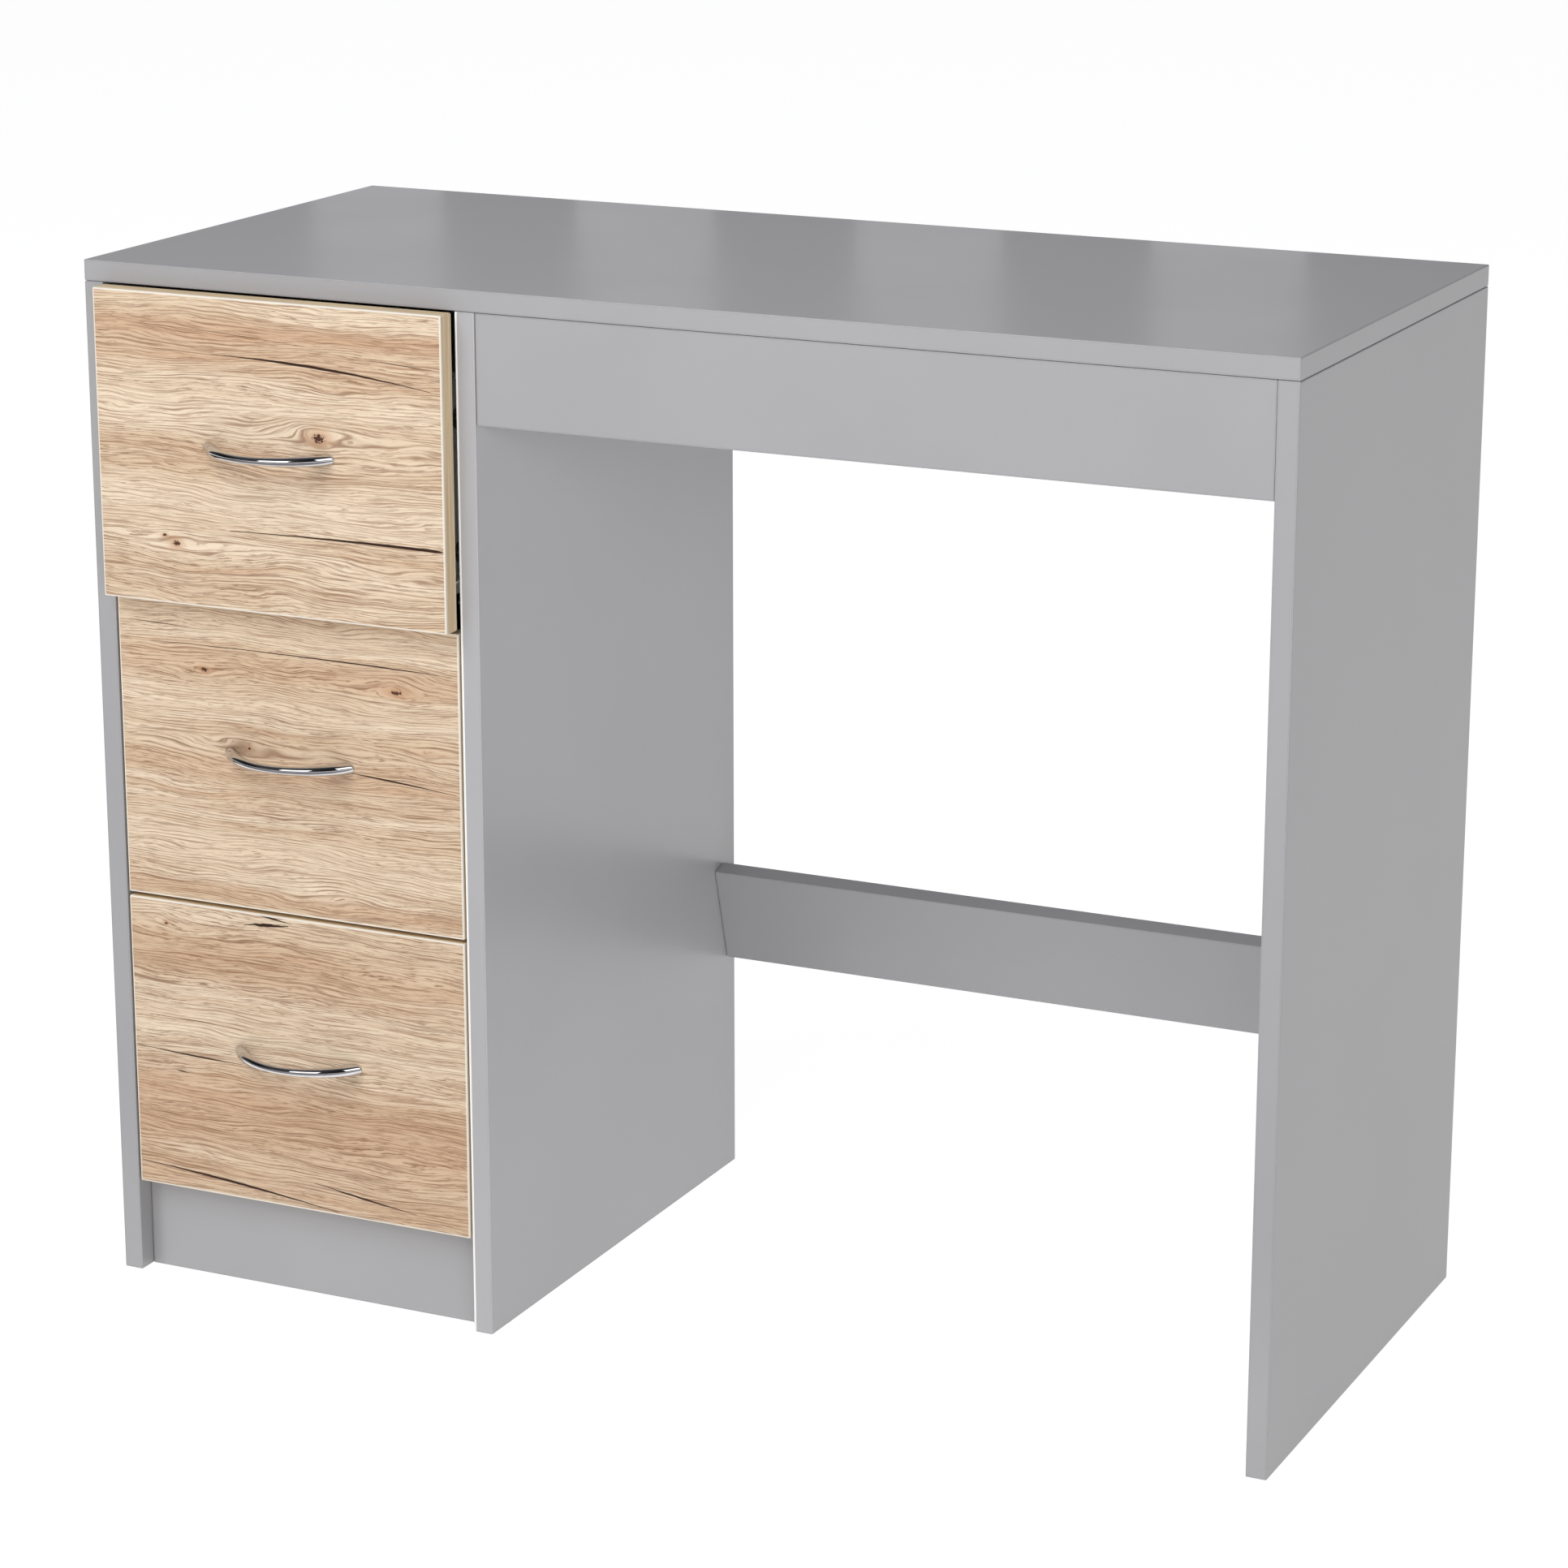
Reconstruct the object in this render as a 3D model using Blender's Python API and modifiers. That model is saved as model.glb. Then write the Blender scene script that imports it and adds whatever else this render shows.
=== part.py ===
"""Writing desk with a pedestal of three drawers, built from its separate boards and fittings.

Units are metres and +Z is up. The front of the desk faces -Y. The origin is on the floor,
under the middle of the desk's outer box, with the top drawer standing slightly open.
"""

import math

import bmesh
import bpy
from mathutils import Matrix, Vector

# Carcass.
WIDTH = 0.900
DEPTH = 0.400
HEIGHT = 0.760
BOARD = 0.015
PEDESTAL_WIDTH = 0.3125
APRON_HEIGHT = 0.078
APRON_SETBACK = 0.001
PLINTH_HEIGHT = 0.070
PLINTH_SETBACK = 0.015
STRETCHER_HEIGHT = 0.078
STRETCHER_MIDDLE = 0.2155
STRETCHER_LEAN = math.radians(15.5)
GLIDE_HEIGHT = 0.0025
GLIDE_RADIUS = 0.006
GLIDE_INSET = 0.030
BOARD_EDGE = 0.0006

# Hardboard back of the pedestal, held in a groove in each side.
BACK_BOARD = 0.003
BACK_GROOVE_DEPTH = 0.006
BACK_GROOVE_INSET = 0.010
BACK_FLOOR_GAP = 0.012

# Drawers, numbered from the top.
DRAWERS = ("top", "middle", "bottom")
TOP_DRAWER_OPEN = 0.016
FRONT_BOTTOM = 0.0735
FRONT_HEIGHT = 0.2215
FRONT_GAP = 0.003
FRONT_SIDE_GAP = 0.00175
FRONT_EDGE = 0.001
BOX_RISE = 0.022
BOX_HEIGHT = 0.150
BOX_LENGTH = 0.350
BOX_BOARD = 0.012
BOX_BOTTOM = 0.003
BOX_GROOVE_RISE = 0.008
BOX_GROOVE_DEPTH = 0.005
RUNNER_SPACE = 0.0125

# Roller runners.
SHEET = 0.0012
CHANNEL_HEIGHT = 0.0215
CHANNEL_FLANGE = 0.0102
CHANNEL_DROP = 0.0075
RAIL_WEB = 0.0135
RAIL_SHELF = 0.0097
RAIL_FOOT = 0.009
RUNNER_START = 0.017
ROLLER_RADIUS = 0.008
ROLLER_WIDTH = 0.0066
ROLLER_BORE = 0.0024
ROLLER_CHAMFER = 0.0008
ROLLER_INSET = 0.011
ROLLER_CLEARANCE = 0.0009
AXLE_RADIUS = 0.002

# Bow handles.
HANDLE_CENTRES = 0.096
HANDLE_REACH = 0.025
HANDLE_RISE = 0.004
HANDLE_THIN = 0.0029
HANDLE_THICK = 0.0048
SCREW_HOLE = 0.0023

# Clearance between neighbours, and how far a cutter runs past what it cuts.
GAP = 0.0003
CUT_PAST = 0.002

# Fineness of the round shapes.
HOLE_SIDES = 12
GLIDE_SIDES = 24
ROLLER_STEPS = 20
HANDLE_STEPS = 24
MERGE_DISTANCE = 0.00001
SMOOTH_BELOW = math.radians(40)
RIGHT_ANGLE = math.radians(90)

FRONT_PLANE = (TOP_DRAWER_OPEN + HANDLE_REACH + HANDLE_THIN - DEPTH) / 2
UNDER_TOP = HEIGHT - BOARD
OPENING_LEFT = BOARD
OPENING_RIGHT = PEDESTAL_WIDTH - BOARD
OPENING_MIDDLE = (OPENING_LEFT + OPENING_RIGHT) / 2
BOX_WIDTH = OPENING_RIGHT - OPENING_LEFT - 2 * RUNNER_SPACE


def desk_point(x, y, z):
    """A point measured from the desk's left side, its front plane and the floor."""
    return Vector((x - WIDTH / 2, y + FRONT_PLANE, z))


def clear_scene():
    for thing in list(bpy.data.objects):
        bpy.data.objects.remove(thing, do_unlink=True)


def new_collection(name):
    collection = bpy.data.collections.new(name)
    bpy.context.scene.collection.children.link(collection)
    return collection


def new_material(name, colour, roughness, metallic=0.0):
    material = bpy.data.materials.new(name)
    material.use_nodes = True
    shader = material.node_tree.nodes["Principled BSDF"]
    shader.inputs["Base Color"].default_value = (*colour, 1.0)
    shader.inputs["Roughness"].default_value = roughness
    shader.inputs["Metallic"].default_value = metallic
    return material


clear_scene()
parts = new_collection("writing_desk")
cutters = new_collection("cutters")

GREY_FOIL = new_material("grey_foil", (0.36, 0.36, 0.37), 0.38)
OAK_FOIL = new_material("oak_foil", (0.60, 0.44, 0.29), 0.55)
WHITE_FOIL = new_material("white_foil", (0.80, 0.80, 0.78), 0.50)
HARDBOARD = new_material("hardboard", (0.72, 0.71, 0.68), 0.70)
COATED_STEEL = new_material("coated_steel", (0.82, 0.82, 0.80), 0.35)
NYLON = new_material("nylon", (0.88, 0.87, 0.82), 0.45)
CHROME = new_material("chrome", (0.80, 0.80, 0.80), 0.08, 1.0)
GLIDE_PLASTIC = new_material("glide_plastic", (0.85, 0.85, 0.84), 0.50)


def add_object(name, mesh, material, place, parent=None, collection=parts):
    """Links a mesh as an object whose origin stands at a place in the world."""
    made = bpy.data.objects.new(name, mesh)
    collection.objects.link(made)
    if material:
        mesh.materials.append(material)
    made.parent = parent
    made.location = place - parent.location if parent else place
    return made


def add_empty(name, place):
    empty = bpy.data.objects.new(name, None)
    empty.location = place
    parts.objects.link(empty)
    return empty


def cube_mesh(name, size):
    shape = bmesh.new()
    bmesh.ops.create_cube(shape, size=1.0)
    bmesh.ops.scale(shape, vec=size, verts=shape.verts)
    mesh = bpy.data.meshes.new(name)
    shape.to_mesh(mesh)
    shape.free()
    return mesh


def rod_mesh(name, radius, length, sides, far_radius=None):
    """A cylinder or a cone along Z, about its middle."""
    shape = bmesh.new()
    bmesh.ops.create_cone(
        shape,
        cap_ends=True,
        segments=sides,
        radius1=far_radius or radius,
        radius2=radius,
        depth=length,
    )
    mesh = bpy.data.meshes.new(name)
    shape.to_mesh(mesh)
    shape.free()
    return mesh


def board(name, material, low, high, edge=BOARD_EDGE, parent=None):
    """A board between two corners, with its edges eased."""
    size = high - low
    made = add_object(name, cube_mesh(name, size), material, (low + high) / 2, parent)
    bevel = made.modifiers.new("eased_edges", "BEVEL")
    bevel.width = edge
    bevel.segments = 1
    return made


def as_cutter(cutter):
    cutter.hide_render = True
    cutter.display_type = "WIRE"
    return cutter


def combine(body, tool, operation):
    change = body.modifiers.new(tool.name, "BOOLEAN")
    change.operation = operation
    change.solver = "EXACT"
    change.object = as_cutter(tool)


def cut_groove(body, name, low, high, parent=None):
    """Takes the box between two corners out of a board."""
    tool = add_object(name, cube_mesh(name, high - low), None, (low + high) / 2, parent, cutters)
    combine(body, tool, "DIFFERENCE")


def cut_hole_along_y(body, name, place, radius, length, parent=None):
    tool = add_object(name, rod_mesh(name, radius, length, HOLE_SIDES), None, place, parent, cutters)
    tool.rotation_euler = (RIGHT_ANGLE, 0, 0)
    combine(body, tool, "DIFFERENCE")


def add_desk_top():
    low = desk_point(0, 0, UNDER_TOP)
    high = desk_point(WIDTH, DEPTH, HEIGHT)
    board("desk_top", GREY_FOIL, low, high)


def add_upright(name, left):
    low = desk_point(left, 0, GLIDE_HEIGHT)
    high = desk_point(left + BOARD, DEPTH, UNDER_TOP - GAP)
    return board(name, GREY_FOIL, low, high)


def back_groove_depths():
    """The front and rear faces of the groove that holds the hardboard back."""
    rear = DEPTH - BACK_GROOVE_INSET
    return rear - BACK_BOARD - 2 * GAP, rear


def add_uprights():
    left_panel = add_upright("left_side_panel", 0)
    middle_panel = add_upright("middle_side_panel", OPENING_RIGHT)
    add_upright("right_end_panel", WIDTH - BOARD)
    front, rear = back_groove_depths()
    spans = (
        (left_panel, OPENING_LEFT - BACK_GROOVE_DEPTH, OPENING_LEFT + CUT_PAST),
        (middle_panel, OPENING_RIGHT - CUT_PAST, OPENING_RIGHT + BACK_GROOVE_DEPTH),
    )
    for panel, start, end in spans:
        low = desk_point(start, front, GLIDE_HEIGHT - CUT_PAST)
        high = desk_point(end, rear, HEIGHT)
        cut_groove(panel, panel.name + "_groove", low, high)


def add_back_panel():
    front, rear = back_groove_depths()
    reach = BACK_GROOVE_DEPTH - 2 * GAP
    low = desk_point(OPENING_LEFT - reach, front + GAP, BACK_FLOOR_GAP)
    high = desk_point(OPENING_RIGHT + reach, rear - GAP, UNDER_TOP - GAP)
    board("pedestal_back_panel", HARDBOARD, low, high, edge=GAP)


def add_plinth():
    low = desk_point(OPENING_LEFT + GAP, PLINTH_SETBACK, GLIDE_HEIGHT)
    high = desk_point(OPENING_RIGHT - GAP, PLINTH_SETBACK + BOARD, PLINTH_HEIGHT)
    board("plinth", GREY_FOIL, low, high)


def add_apron():
    low = desk_point(PEDESTAL_WIDTH + GAP, APRON_SETBACK, UNDER_TOP - APRON_HEIGHT)
    high = desk_point(WIDTH - BOARD - GAP, APRON_SETBACK + BOARD, UNDER_TOP - GAP)
    board("front_apron", GREY_FOIL, low, high)


def add_stretcher():
    """A rail low down at the back, leaning so that its foot meets the rear edges of the panels."""
    length = WIDTH - BOARD - PEDESTAL_WIDTH - 2 * GAP
    half_depth = (
        BOARD / 2 * math.cos(STRETCHER_LEAN) + STRETCHER_HEIGHT / 2 * math.sin(STRETCHER_LEAN)
    )
    middle = desk_point((PEDESTAL_WIDTH + WIDTH - BOARD) / 2, DEPTH - half_depth, STRETCHER_MIDDLE)
    half = Vector((length, BOARD, STRETCHER_HEIGHT)) / 2
    rail = board("rear_stretcher", GREY_FOIL, middle - half, middle + half)
    rail.rotation_euler = (STRETCHER_LEAN, 0, 0)


def add_floor_glides():
    uprights = (("left", 0), ("middle", OPENING_RIGHT), ("right", WIDTH - BOARD))
    for side, left in uprights:
        for end, depth in (("front", GLIDE_INSET), ("back", DEPTH - GLIDE_INSET)):
            name = f"floor_glide_{side}_{end}"
            height = GLIDE_HEIGHT - GAP
            foot = GLIDE_RADIUS - height / 2
            mesh = rod_mesh(name, GLIDE_RADIUS, height, GLIDE_SIDES, foot)
            add_object(name, mesh, GLIDE_PLASTIC, desk_point(left + BOARD / 2, depth, height / 2))


def front_bottom(number):
    """The height of a drawer front's lower edge. The bottom drawer is the last."""
    below = len(DRAWERS) - 1 - number
    return FRONT_BOTTOM + below * (FRONT_HEIGHT + FRONT_GAP)


def add_drawer_front(drawer, place, parent):
    """A front with a groove for the drawer's bottom and two holes for the handle's screws."""
    half = (OPENING_RIGHT - OPENING_LEFT) / 2 - FRONT_SIDE_GAP
    low = place + Vector((-half, 0, 0))
    high = place + Vector((half, BOARD, FRONT_HEIGHT))
    front = board(f"drawer_{drawer}_front", OAK_FOIL, low, high, FRONT_EDGE, parent)
    groove = BOX_RISE + BOX_GROOVE_RISE
    reach = BOX_WIDTH / 2 - BOX_BOARD + BOX_GROOVE_DEPTH
    low = place + Vector((-reach, BOARD - BOX_GROOVE_DEPTH, groove))
    high = place + Vector((reach, BOARD + CUT_PAST, groove + BOX_BOTTOM + 2 * GAP))
    cut_groove(front, front.name + "_groove", low, high, parent)
    for side, across in (("left", -HANDLE_CENTRES / 2), ("right", HANDLE_CENTRES / 2)):
        spot = place + Vector((across, BOARD / 2, FRONT_HEIGHT / 2 + HANDLE_RISE))
        length = BOARD + 2 * CUT_PAST
        cut_hole_along_y(front, f"{front.name}_hole_{side}", spot, SCREW_HOLE, length, parent)


def add_drawer_box(drawer, place, parent):
    """Two grooved sides, a back that stands on the bottom, and the bottom itself."""
    half = BOX_WIDTH / 2
    start = BOARD + GAP
    end = start + BOX_LENGTH
    foot = BOX_RISE
    groove = foot + BOX_GROOVE_RISE
    groove_top = groove + BOX_BOTTOM + 2 * GAP
    inner = half - BOX_BOARD
    for side, sign in (("left", -1), ("right", 1)):
        edges = sorted((sign * inner, sign * half))
        low = place + Vector((edges[0], start, foot))
        high = place + Vector((edges[1], end, foot + BOX_HEIGHT))
        wall = board(f"drawer_{drawer}_side_{side}", WHITE_FOIL, low, high, parent=parent)
        edges = sorted((sign * (inner - CUT_PAST), sign * (inner + BOX_GROOVE_DEPTH)))
        low = place + Vector((edges[0], start - CUT_PAST, groove))
        high = place + Vector((edges[1], end + CUT_PAST, groove_top))
        cut_groove(wall, wall.name + "_groove", low, high, parent)
    low = place + Vector((GAP - inner, end - BOX_BOARD, groove_top + GAP))
    high = place + Vector((inner - GAP, end, foot + BOX_HEIGHT))
    board(f"drawer_{drawer}_back", WHITE_FOIL, low, high, parent=parent)
    reach = inner + BOX_GROOVE_DEPTH - 2 * GAP
    low = place + Vector((-reach, BOARD - BOX_GROOVE_DEPTH + 2 * GAP, groove + GAP))
    high = place + Vector((reach, end, groove_top - GAP))
    board(f"drawer_{drawer}_bottom", HARDBOARD, low, high, GAP, parent)


def mesh_of_curve(name, curve):
    """The closed mesh that a curve makes, with its loose caps welded on."""
    guide = bpy.data.objects.new(name + "_guide", curve)
    cutters.objects.link(guide)
    bpy.context.view_layer.update()
    evaluated = guide.evaluated_get(bpy.context.evaluated_depsgraph_get())
    mesh = bpy.data.meshes.new_from_object(evaluated)
    mesh.materials.clear()
    bpy.data.objects.remove(guide, do_unlink=True)
    shape = bmesh.new()
    shape.from_mesh(mesh)
    bmesh.ops.remove_doubles(shape, verts=shape.verts, dist=MERGE_DISTANCE)
    shape.to_mesh(mesh)
    shape.free()
    return mesh


def bow_mesh(name, points, radii, thickness):
    """A round bar along points, as thick at each point as its radius says."""
    curve = bpy.data.curves.new(name, "CURVE")
    curve.dimensions = "3D"
    curve.bevel_depth = thickness
    curve.bevel_resolution = 2
    curve.use_fill_caps = True
    spline = curve.splines.new("POLY")
    spline.points.add(len(points) - 1)
    for control, point, radius in zip(spline.points, points, radii):
        control.co = (*point, 1.0)
        control.radius = radius
    return mesh_of_curve(name, curve)


def bow_points(steps):
    """An arc through both feet, carried on behind the drawer front so that it can be cut flat."""
    half_span = HANDLE_CENTRES / 2
    arc = (half_span**2 + HANDLE_REACH**2) / (2 * HANDLE_REACH)
    end_angle = math.asin(half_span / arc)
    widest = end_angle + 2 * HANDLE_THICK / arc
    for step in range(steps + 1):
        angle = widest * (2 * step / steps - 1)
        yield Vector((arc * math.sin(angle), arc - HANDLE_REACH - arc * math.cos(angle), 0))


def add_handle(drawer, place, parent):
    """A bow that thickens towards its two feet, which are cut flat to stand on the front."""
    name = f"drawer_{drawer}_handle"
    points = list(bow_points(HANDLE_STEPS))
    furthest = points[-1].x
    radii = [1 + (HANDLE_THICK / HANDLE_THIN - 1) * (abs(p.x) / furthest) ** 2 for p in points]
    mesh = bow_mesh(name, points, radii, HANDLE_THIN)
    shape = bmesh.new()
    shape.from_mesh(mesh)
    everything = shape.verts[:] + shape.edges[:] + shape.faces[:]
    bmesh.ops.bisect_plane(
        shape, geom=everything, plane_co=(0, -GAP, 0), plane_no=(0, 1, 0), clear_outer=True
    )
    bmesh.ops.holes_fill(shape, edges=shape.edges, sides=0)
    bmesh.ops.recalc_face_normals(shape, faces=shape.faces)
    shape.to_mesh(mesh)
    shape.free()
    mesh.shade_smooth()
    mesh.set_sharp_from_angle(angle=SMOOTH_BELOW)
    spot = place + Vector((0, 0, FRONT_HEIGHT / 2 + HANDLE_RISE))
    add_object(name, mesh, CHROME, spot, parent)


def bar_mesh(name, outline, length):
    """A flat outline in X and Z, drawn out to a length along Y."""
    curve = bpy.data.curves.new(name, "CURVE")
    curve.dimensions = "2D"
    curve.fill_mode = "BOTH"
    curve.extrude = length / 2
    spline = curve.splines.new("POLY")
    spline.points.add(len(outline) - 1)
    spline.use_cyclic_u = True
    for control, (across, up) in zip(spline.points, outline):
        control.co = (across, up, 0, 1)
    mesh = mesh_of_curve(name, curve)
    shape = bmesh.new()
    shape.from_mesh(mesh)
    turn = Matrix.Rotation(RIGHT_ANGLE, 3, "X")
    bmesh.ops.rotate(shape, cent=(0, 0, 0), matrix=turn, verts=shape.verts)
    bmesh.ops.recalc_face_normals(shape, faces=shape.faces)
    shape.to_mesh(mesh)
    shape.free()
    return mesh


def mirrored(outline, sign):
    """The outline for the right side, or its mirror image for the left."""
    return [(sign * across, up) for across, up in outline]


def add_axle(body, name, root, sign, length, parent=None):
    """A stub axle that grows out of a runner's web, along X."""
    middle = root + Vector((sign * length / 2, 0, 0))
    rod = rod_mesh(name, AXLE_RADIUS, length, HOLE_SIDES)
    tool = add_object(name, rod, None, middle, parent, cutters)
    tool.rotation_euler = (0, RIGHT_ANGLE, 0)
    combine(body, tool, "UNION")


def add_cabinet_runner(drawer, side, sign, face, foot):
    """A channel on the panel's face, open towards the drawer, with an axle at its front end."""
    outline = [
        (0, 0),
        (-CHANNEL_FLANGE, 0),
        (-CHANNEL_FLANGE, SHEET),
        (-SHEET, SHEET),
        (-SHEET, CHANNEL_HEIGHT - SHEET),
        (-CHANNEL_FLANGE, CHANNEL_HEIGHT - SHEET),
        (-CHANNEL_FLANGE, CHANNEL_HEIGHT),
        (0, CHANNEL_HEIGHT),
    ]
    name = f"cabinet_runner_{drawer}_{side}"
    mesh = bar_mesh(name, mirrored(outline, sign), BOX_LENGTH)
    place = desk_point(face - sign * GAP, RUNNER_START + BOX_LENGTH / 2, foot)
    runner = add_object(name, mesh, COATED_STEEL, place)
    root = desk_point(face - sign * (GAP + SHEET / 2), RUNNER_START + ROLLER_INSET, 0)
    root.z = foot + SHEET + ROLLER_RADIUS + ROLLER_CLEARANCE
    add_axle(runner, name + "_axle", root, -sign, CHANNEL_FLANGE - SHEET / 2)
    return root


def add_drawer_runner(drawer, side, sign, corner, parent):
    """An angle round the lower edge of a drawer's side, with a shelf that rides on the roller."""
    outline = [
        (-RAIL_FOOT, -GAP - SHEET),
        (GAP + SHEET, -GAP - SHEET),
        (GAP + SHEET, RAIL_WEB - GAP - 2 * SHEET),
        (RAIL_SHELF, RAIL_WEB - GAP - 2 * SHEET),
        (RAIL_SHELF, RAIL_WEB - GAP - SHEET),
        (GAP, RAIL_WEB - GAP - SHEET),
        (GAP, -GAP),
        (-RAIL_FOOT, -GAP),
    ]
    name = f"drawer_{drawer}_runner_{side}"
    mesh = bar_mesh(name, mirrored(outline, sign), BOX_LENGTH)
    middle = corner + Vector((0, BOX_LENGTH / 2, 0))
    runner = add_object(name, mesh, COATED_STEEL, middle, parent)
    root = corner + Vector((sign * (GAP + SHEET / 2), BOX_LENGTH - ROLLER_INSET, 0))
    root.z += SHEET + ROLLER_RADIUS + GAP - CHANNEL_DROP
    add_axle(runner, name + "_axle", root, sign, CHANNEL_FLANGE - SHEET / 2, parent)
    return root


def add_roller(name, root, sign, parent=None):
    """A nylon wheel that turns on its axle, along X."""
    half = ROLLER_WIDTH / 2
    tread = ROLLER_RADIUS - ROLLER_CHAMFER
    profile = [
        (tread, half),
        (ROLLER_RADIUS, half - ROLLER_CHAMFER),
        (ROLLER_RADIUS, ROLLER_CHAMFER - half),
        (tread, -half),
        (ROLLER_BORE, -half),
        (ROLLER_BORE, half),
    ]
    mesh = bpy.data.meshes.new(name)
    shape = bmesh.new()
    ring = [shape.verts.new((radius, 0, along)) for radius, along in profile]
    for one, other in zip(ring, ring[1:] + ring[:1]):
        shape.edges.new((one, other))
    shape.to_mesh(mesh)
    shape.free()
    middle = root + Vector((sign * (SHEET / 2 + GAP + half), 0, 0))
    wheel = add_object(name, mesh, NYLON, middle, parent)
    wheel.rotation_euler = (0, RIGHT_ANGLE, 0)
    turn = wheel.modifiers.new("turned", "SCREW")
    turn.steps = ROLLER_STEPS
    turn.render_steps = ROLLER_STEPS
    turn.use_merge_vertices = True
    turn.merge_threshold = MERGE_DISTANCE
    turn.use_smooth_shade = False


def add_drawer(number, drawer):
    """One drawer on its pair of runners, hung from an empty at its front's lower edge."""
    opened = TOP_DRAWER_OPEN if number == 0 else 0
    bottom = front_bottom(number)
    place = desk_point(OPENING_MIDDLE, -opened, bottom)
    slide = add_empty(f"drawer_{drawer}_slide", place)
    add_drawer_front(drawer, place, slide)
    add_drawer_box(drawer, place, slide)
    add_handle(drawer, place, slide)
    for side, sign, face in (("left", -1, OPENING_LEFT), ("right", 1, OPENING_RIGHT)):
        foot = bottom + BOX_RISE - CHANNEL_DROP
        axle = add_cabinet_runner(drawer, side, sign, face, foot)
        add_roller(f"cabinet_roller_{drawer}_{side}", axle, -sign)
        corner = place + Vector((sign * BOX_WIDTH / 2, BOARD + GAP, BOX_RISE))
        axle = add_drawer_runner(drawer, side, sign, corner, slide)
        add_roller(f"drawer_roller_{drawer}_{side}", axle, sign, slide)


add_desk_top()
add_uprights()
add_back_panel()
add_plinth()
add_apron()
add_stretcher()
add_floor_glides()
for index, label in enumerate(DRAWERS):
    add_drawer(index, label)
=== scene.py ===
import math

import bmesh
import bpy
from mathutils import Matrix, Vector


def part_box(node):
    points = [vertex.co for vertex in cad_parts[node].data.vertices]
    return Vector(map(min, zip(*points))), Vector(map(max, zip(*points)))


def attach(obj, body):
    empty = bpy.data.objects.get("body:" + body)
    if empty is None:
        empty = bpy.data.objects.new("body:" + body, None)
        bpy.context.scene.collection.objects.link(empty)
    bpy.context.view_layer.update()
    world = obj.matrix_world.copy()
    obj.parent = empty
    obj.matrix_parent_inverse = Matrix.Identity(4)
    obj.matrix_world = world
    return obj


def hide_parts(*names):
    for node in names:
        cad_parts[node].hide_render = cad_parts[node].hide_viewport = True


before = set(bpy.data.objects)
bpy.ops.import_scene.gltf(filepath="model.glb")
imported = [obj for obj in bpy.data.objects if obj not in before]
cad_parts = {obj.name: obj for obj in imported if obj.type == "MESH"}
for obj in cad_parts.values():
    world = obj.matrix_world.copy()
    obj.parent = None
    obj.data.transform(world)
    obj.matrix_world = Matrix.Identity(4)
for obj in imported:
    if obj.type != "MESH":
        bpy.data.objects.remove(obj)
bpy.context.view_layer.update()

# ---- Room --------------------------------------------------------------------------------
# A white glowing floor in a dim studio. Fill lamps light the desk from the left, the right and
# above. Cards, mats and the walls show in the chrome, and four lit strips in the desk's top.
desk_low, desk_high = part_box("desk_top")
desk_middle = (desk_low + desk_high) / 2

scene = bpy.context.scene
scene.view_settings.view_transform = "Standard"
scene.view_settings.look = "None"

EYE_RIGHT = 1.800
EYE_AHEAD = 2.656
EYE_HEIGHT = 1.268
EYE_TURN = math.radians(25.3)
EYE_DROP = math.radians(15.7)
LENS = 104.2

camera_data = bpy.data.cameras.new("viewpoint")
camera_data.sensor_width = 36.0
camera_data.lens = LENS
camera_data.clip_start = 0.05
camera_data.clip_end = 200.0
camera = bpy.data.objects.new("viewpoint", camera_data)
camera.location = (desk_low.x + EYE_RIGHT, desk_low.y - EYE_AHEAD, EYE_HEIGHT)
camera.rotation_euler = (math.radians(90) - EYE_DROP, 0, EYE_TURN)
scene.collection.objects.link(camera)
scene.camera = camera

FLOOR_SIDE = 80.0
FLOOR_GREY = 0.25
FLOOR_GLOW = 0.93
MAT_GREY = 0.02
MAT_TINT = (1, 0.96, 1, 1)
MAT_RISE = 0.004
MAT_GAP = 0.20
MAT_LEFT = 1.0
MAT_RIGHT = 2.2
MAT_FRONT = 3.6
LEFT_MAT_WIDTH = 3.0
LEFT_MAT_BEHIND = 0.5
FRONT_MAT_GLOW = 0.30
LEFT_MAT_GLOW = 0.04


def flat_sheet(name, low, high, grey, glow, tint=(1, 1, 1, 1)):
    """A dull sheet that glows, lies level between two corners, and isn't part of the desk."""
    shape = bmesh.new()
    bmesh.ops.create_grid(shape, x_segments=1, y_segments=1, size=0.5)
    bmesh.ops.scale(shape, vec=(high.x - low.x, high.y - low.y, 1), verts=shape.verts)
    bmesh.ops.translate(shape, vec=(low + high) / 2, verts=shape.verts)
    mesh = bpy.data.meshes.new(name)
    shape.to_mesh(mesh)
    shape.free()
    material = bpy.data.materials.new(name)
    material.use_nodes = True
    shader = material.node_tree.nodes["Principled BSDF"]
    shader.inputs["Base Color"].default_value = (grey, grey, grey, 1)
    shader.inputs["Roughness"].default_value = 0.9
    shader.inputs["Specular IOR Level"].default_value = 0.0
    shader.inputs["Emission Color"].default_value = tint
    shader.inputs["Emission Strength"].default_value = glow
    mesh.materials.append(material)
    sheet = bpy.data.objects.new(name, mesh)
    scene.collection.objects.link(sheet)
    return sheet


def dark_mat(name, left, front, right, back, glow):
    """A mat on the floor that shows only in the chrome and in the gloss of the boards."""
    mat = flat_sheet(name, Vector((left, front, MAT_RISE)), Vector((right, back, MAT_RISE)),
                     MAT_GREY, glow, MAT_TINT)
    mat.visible_camera = False
    mat.visible_diffuse = False
    mat.visible_shadow = False


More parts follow.
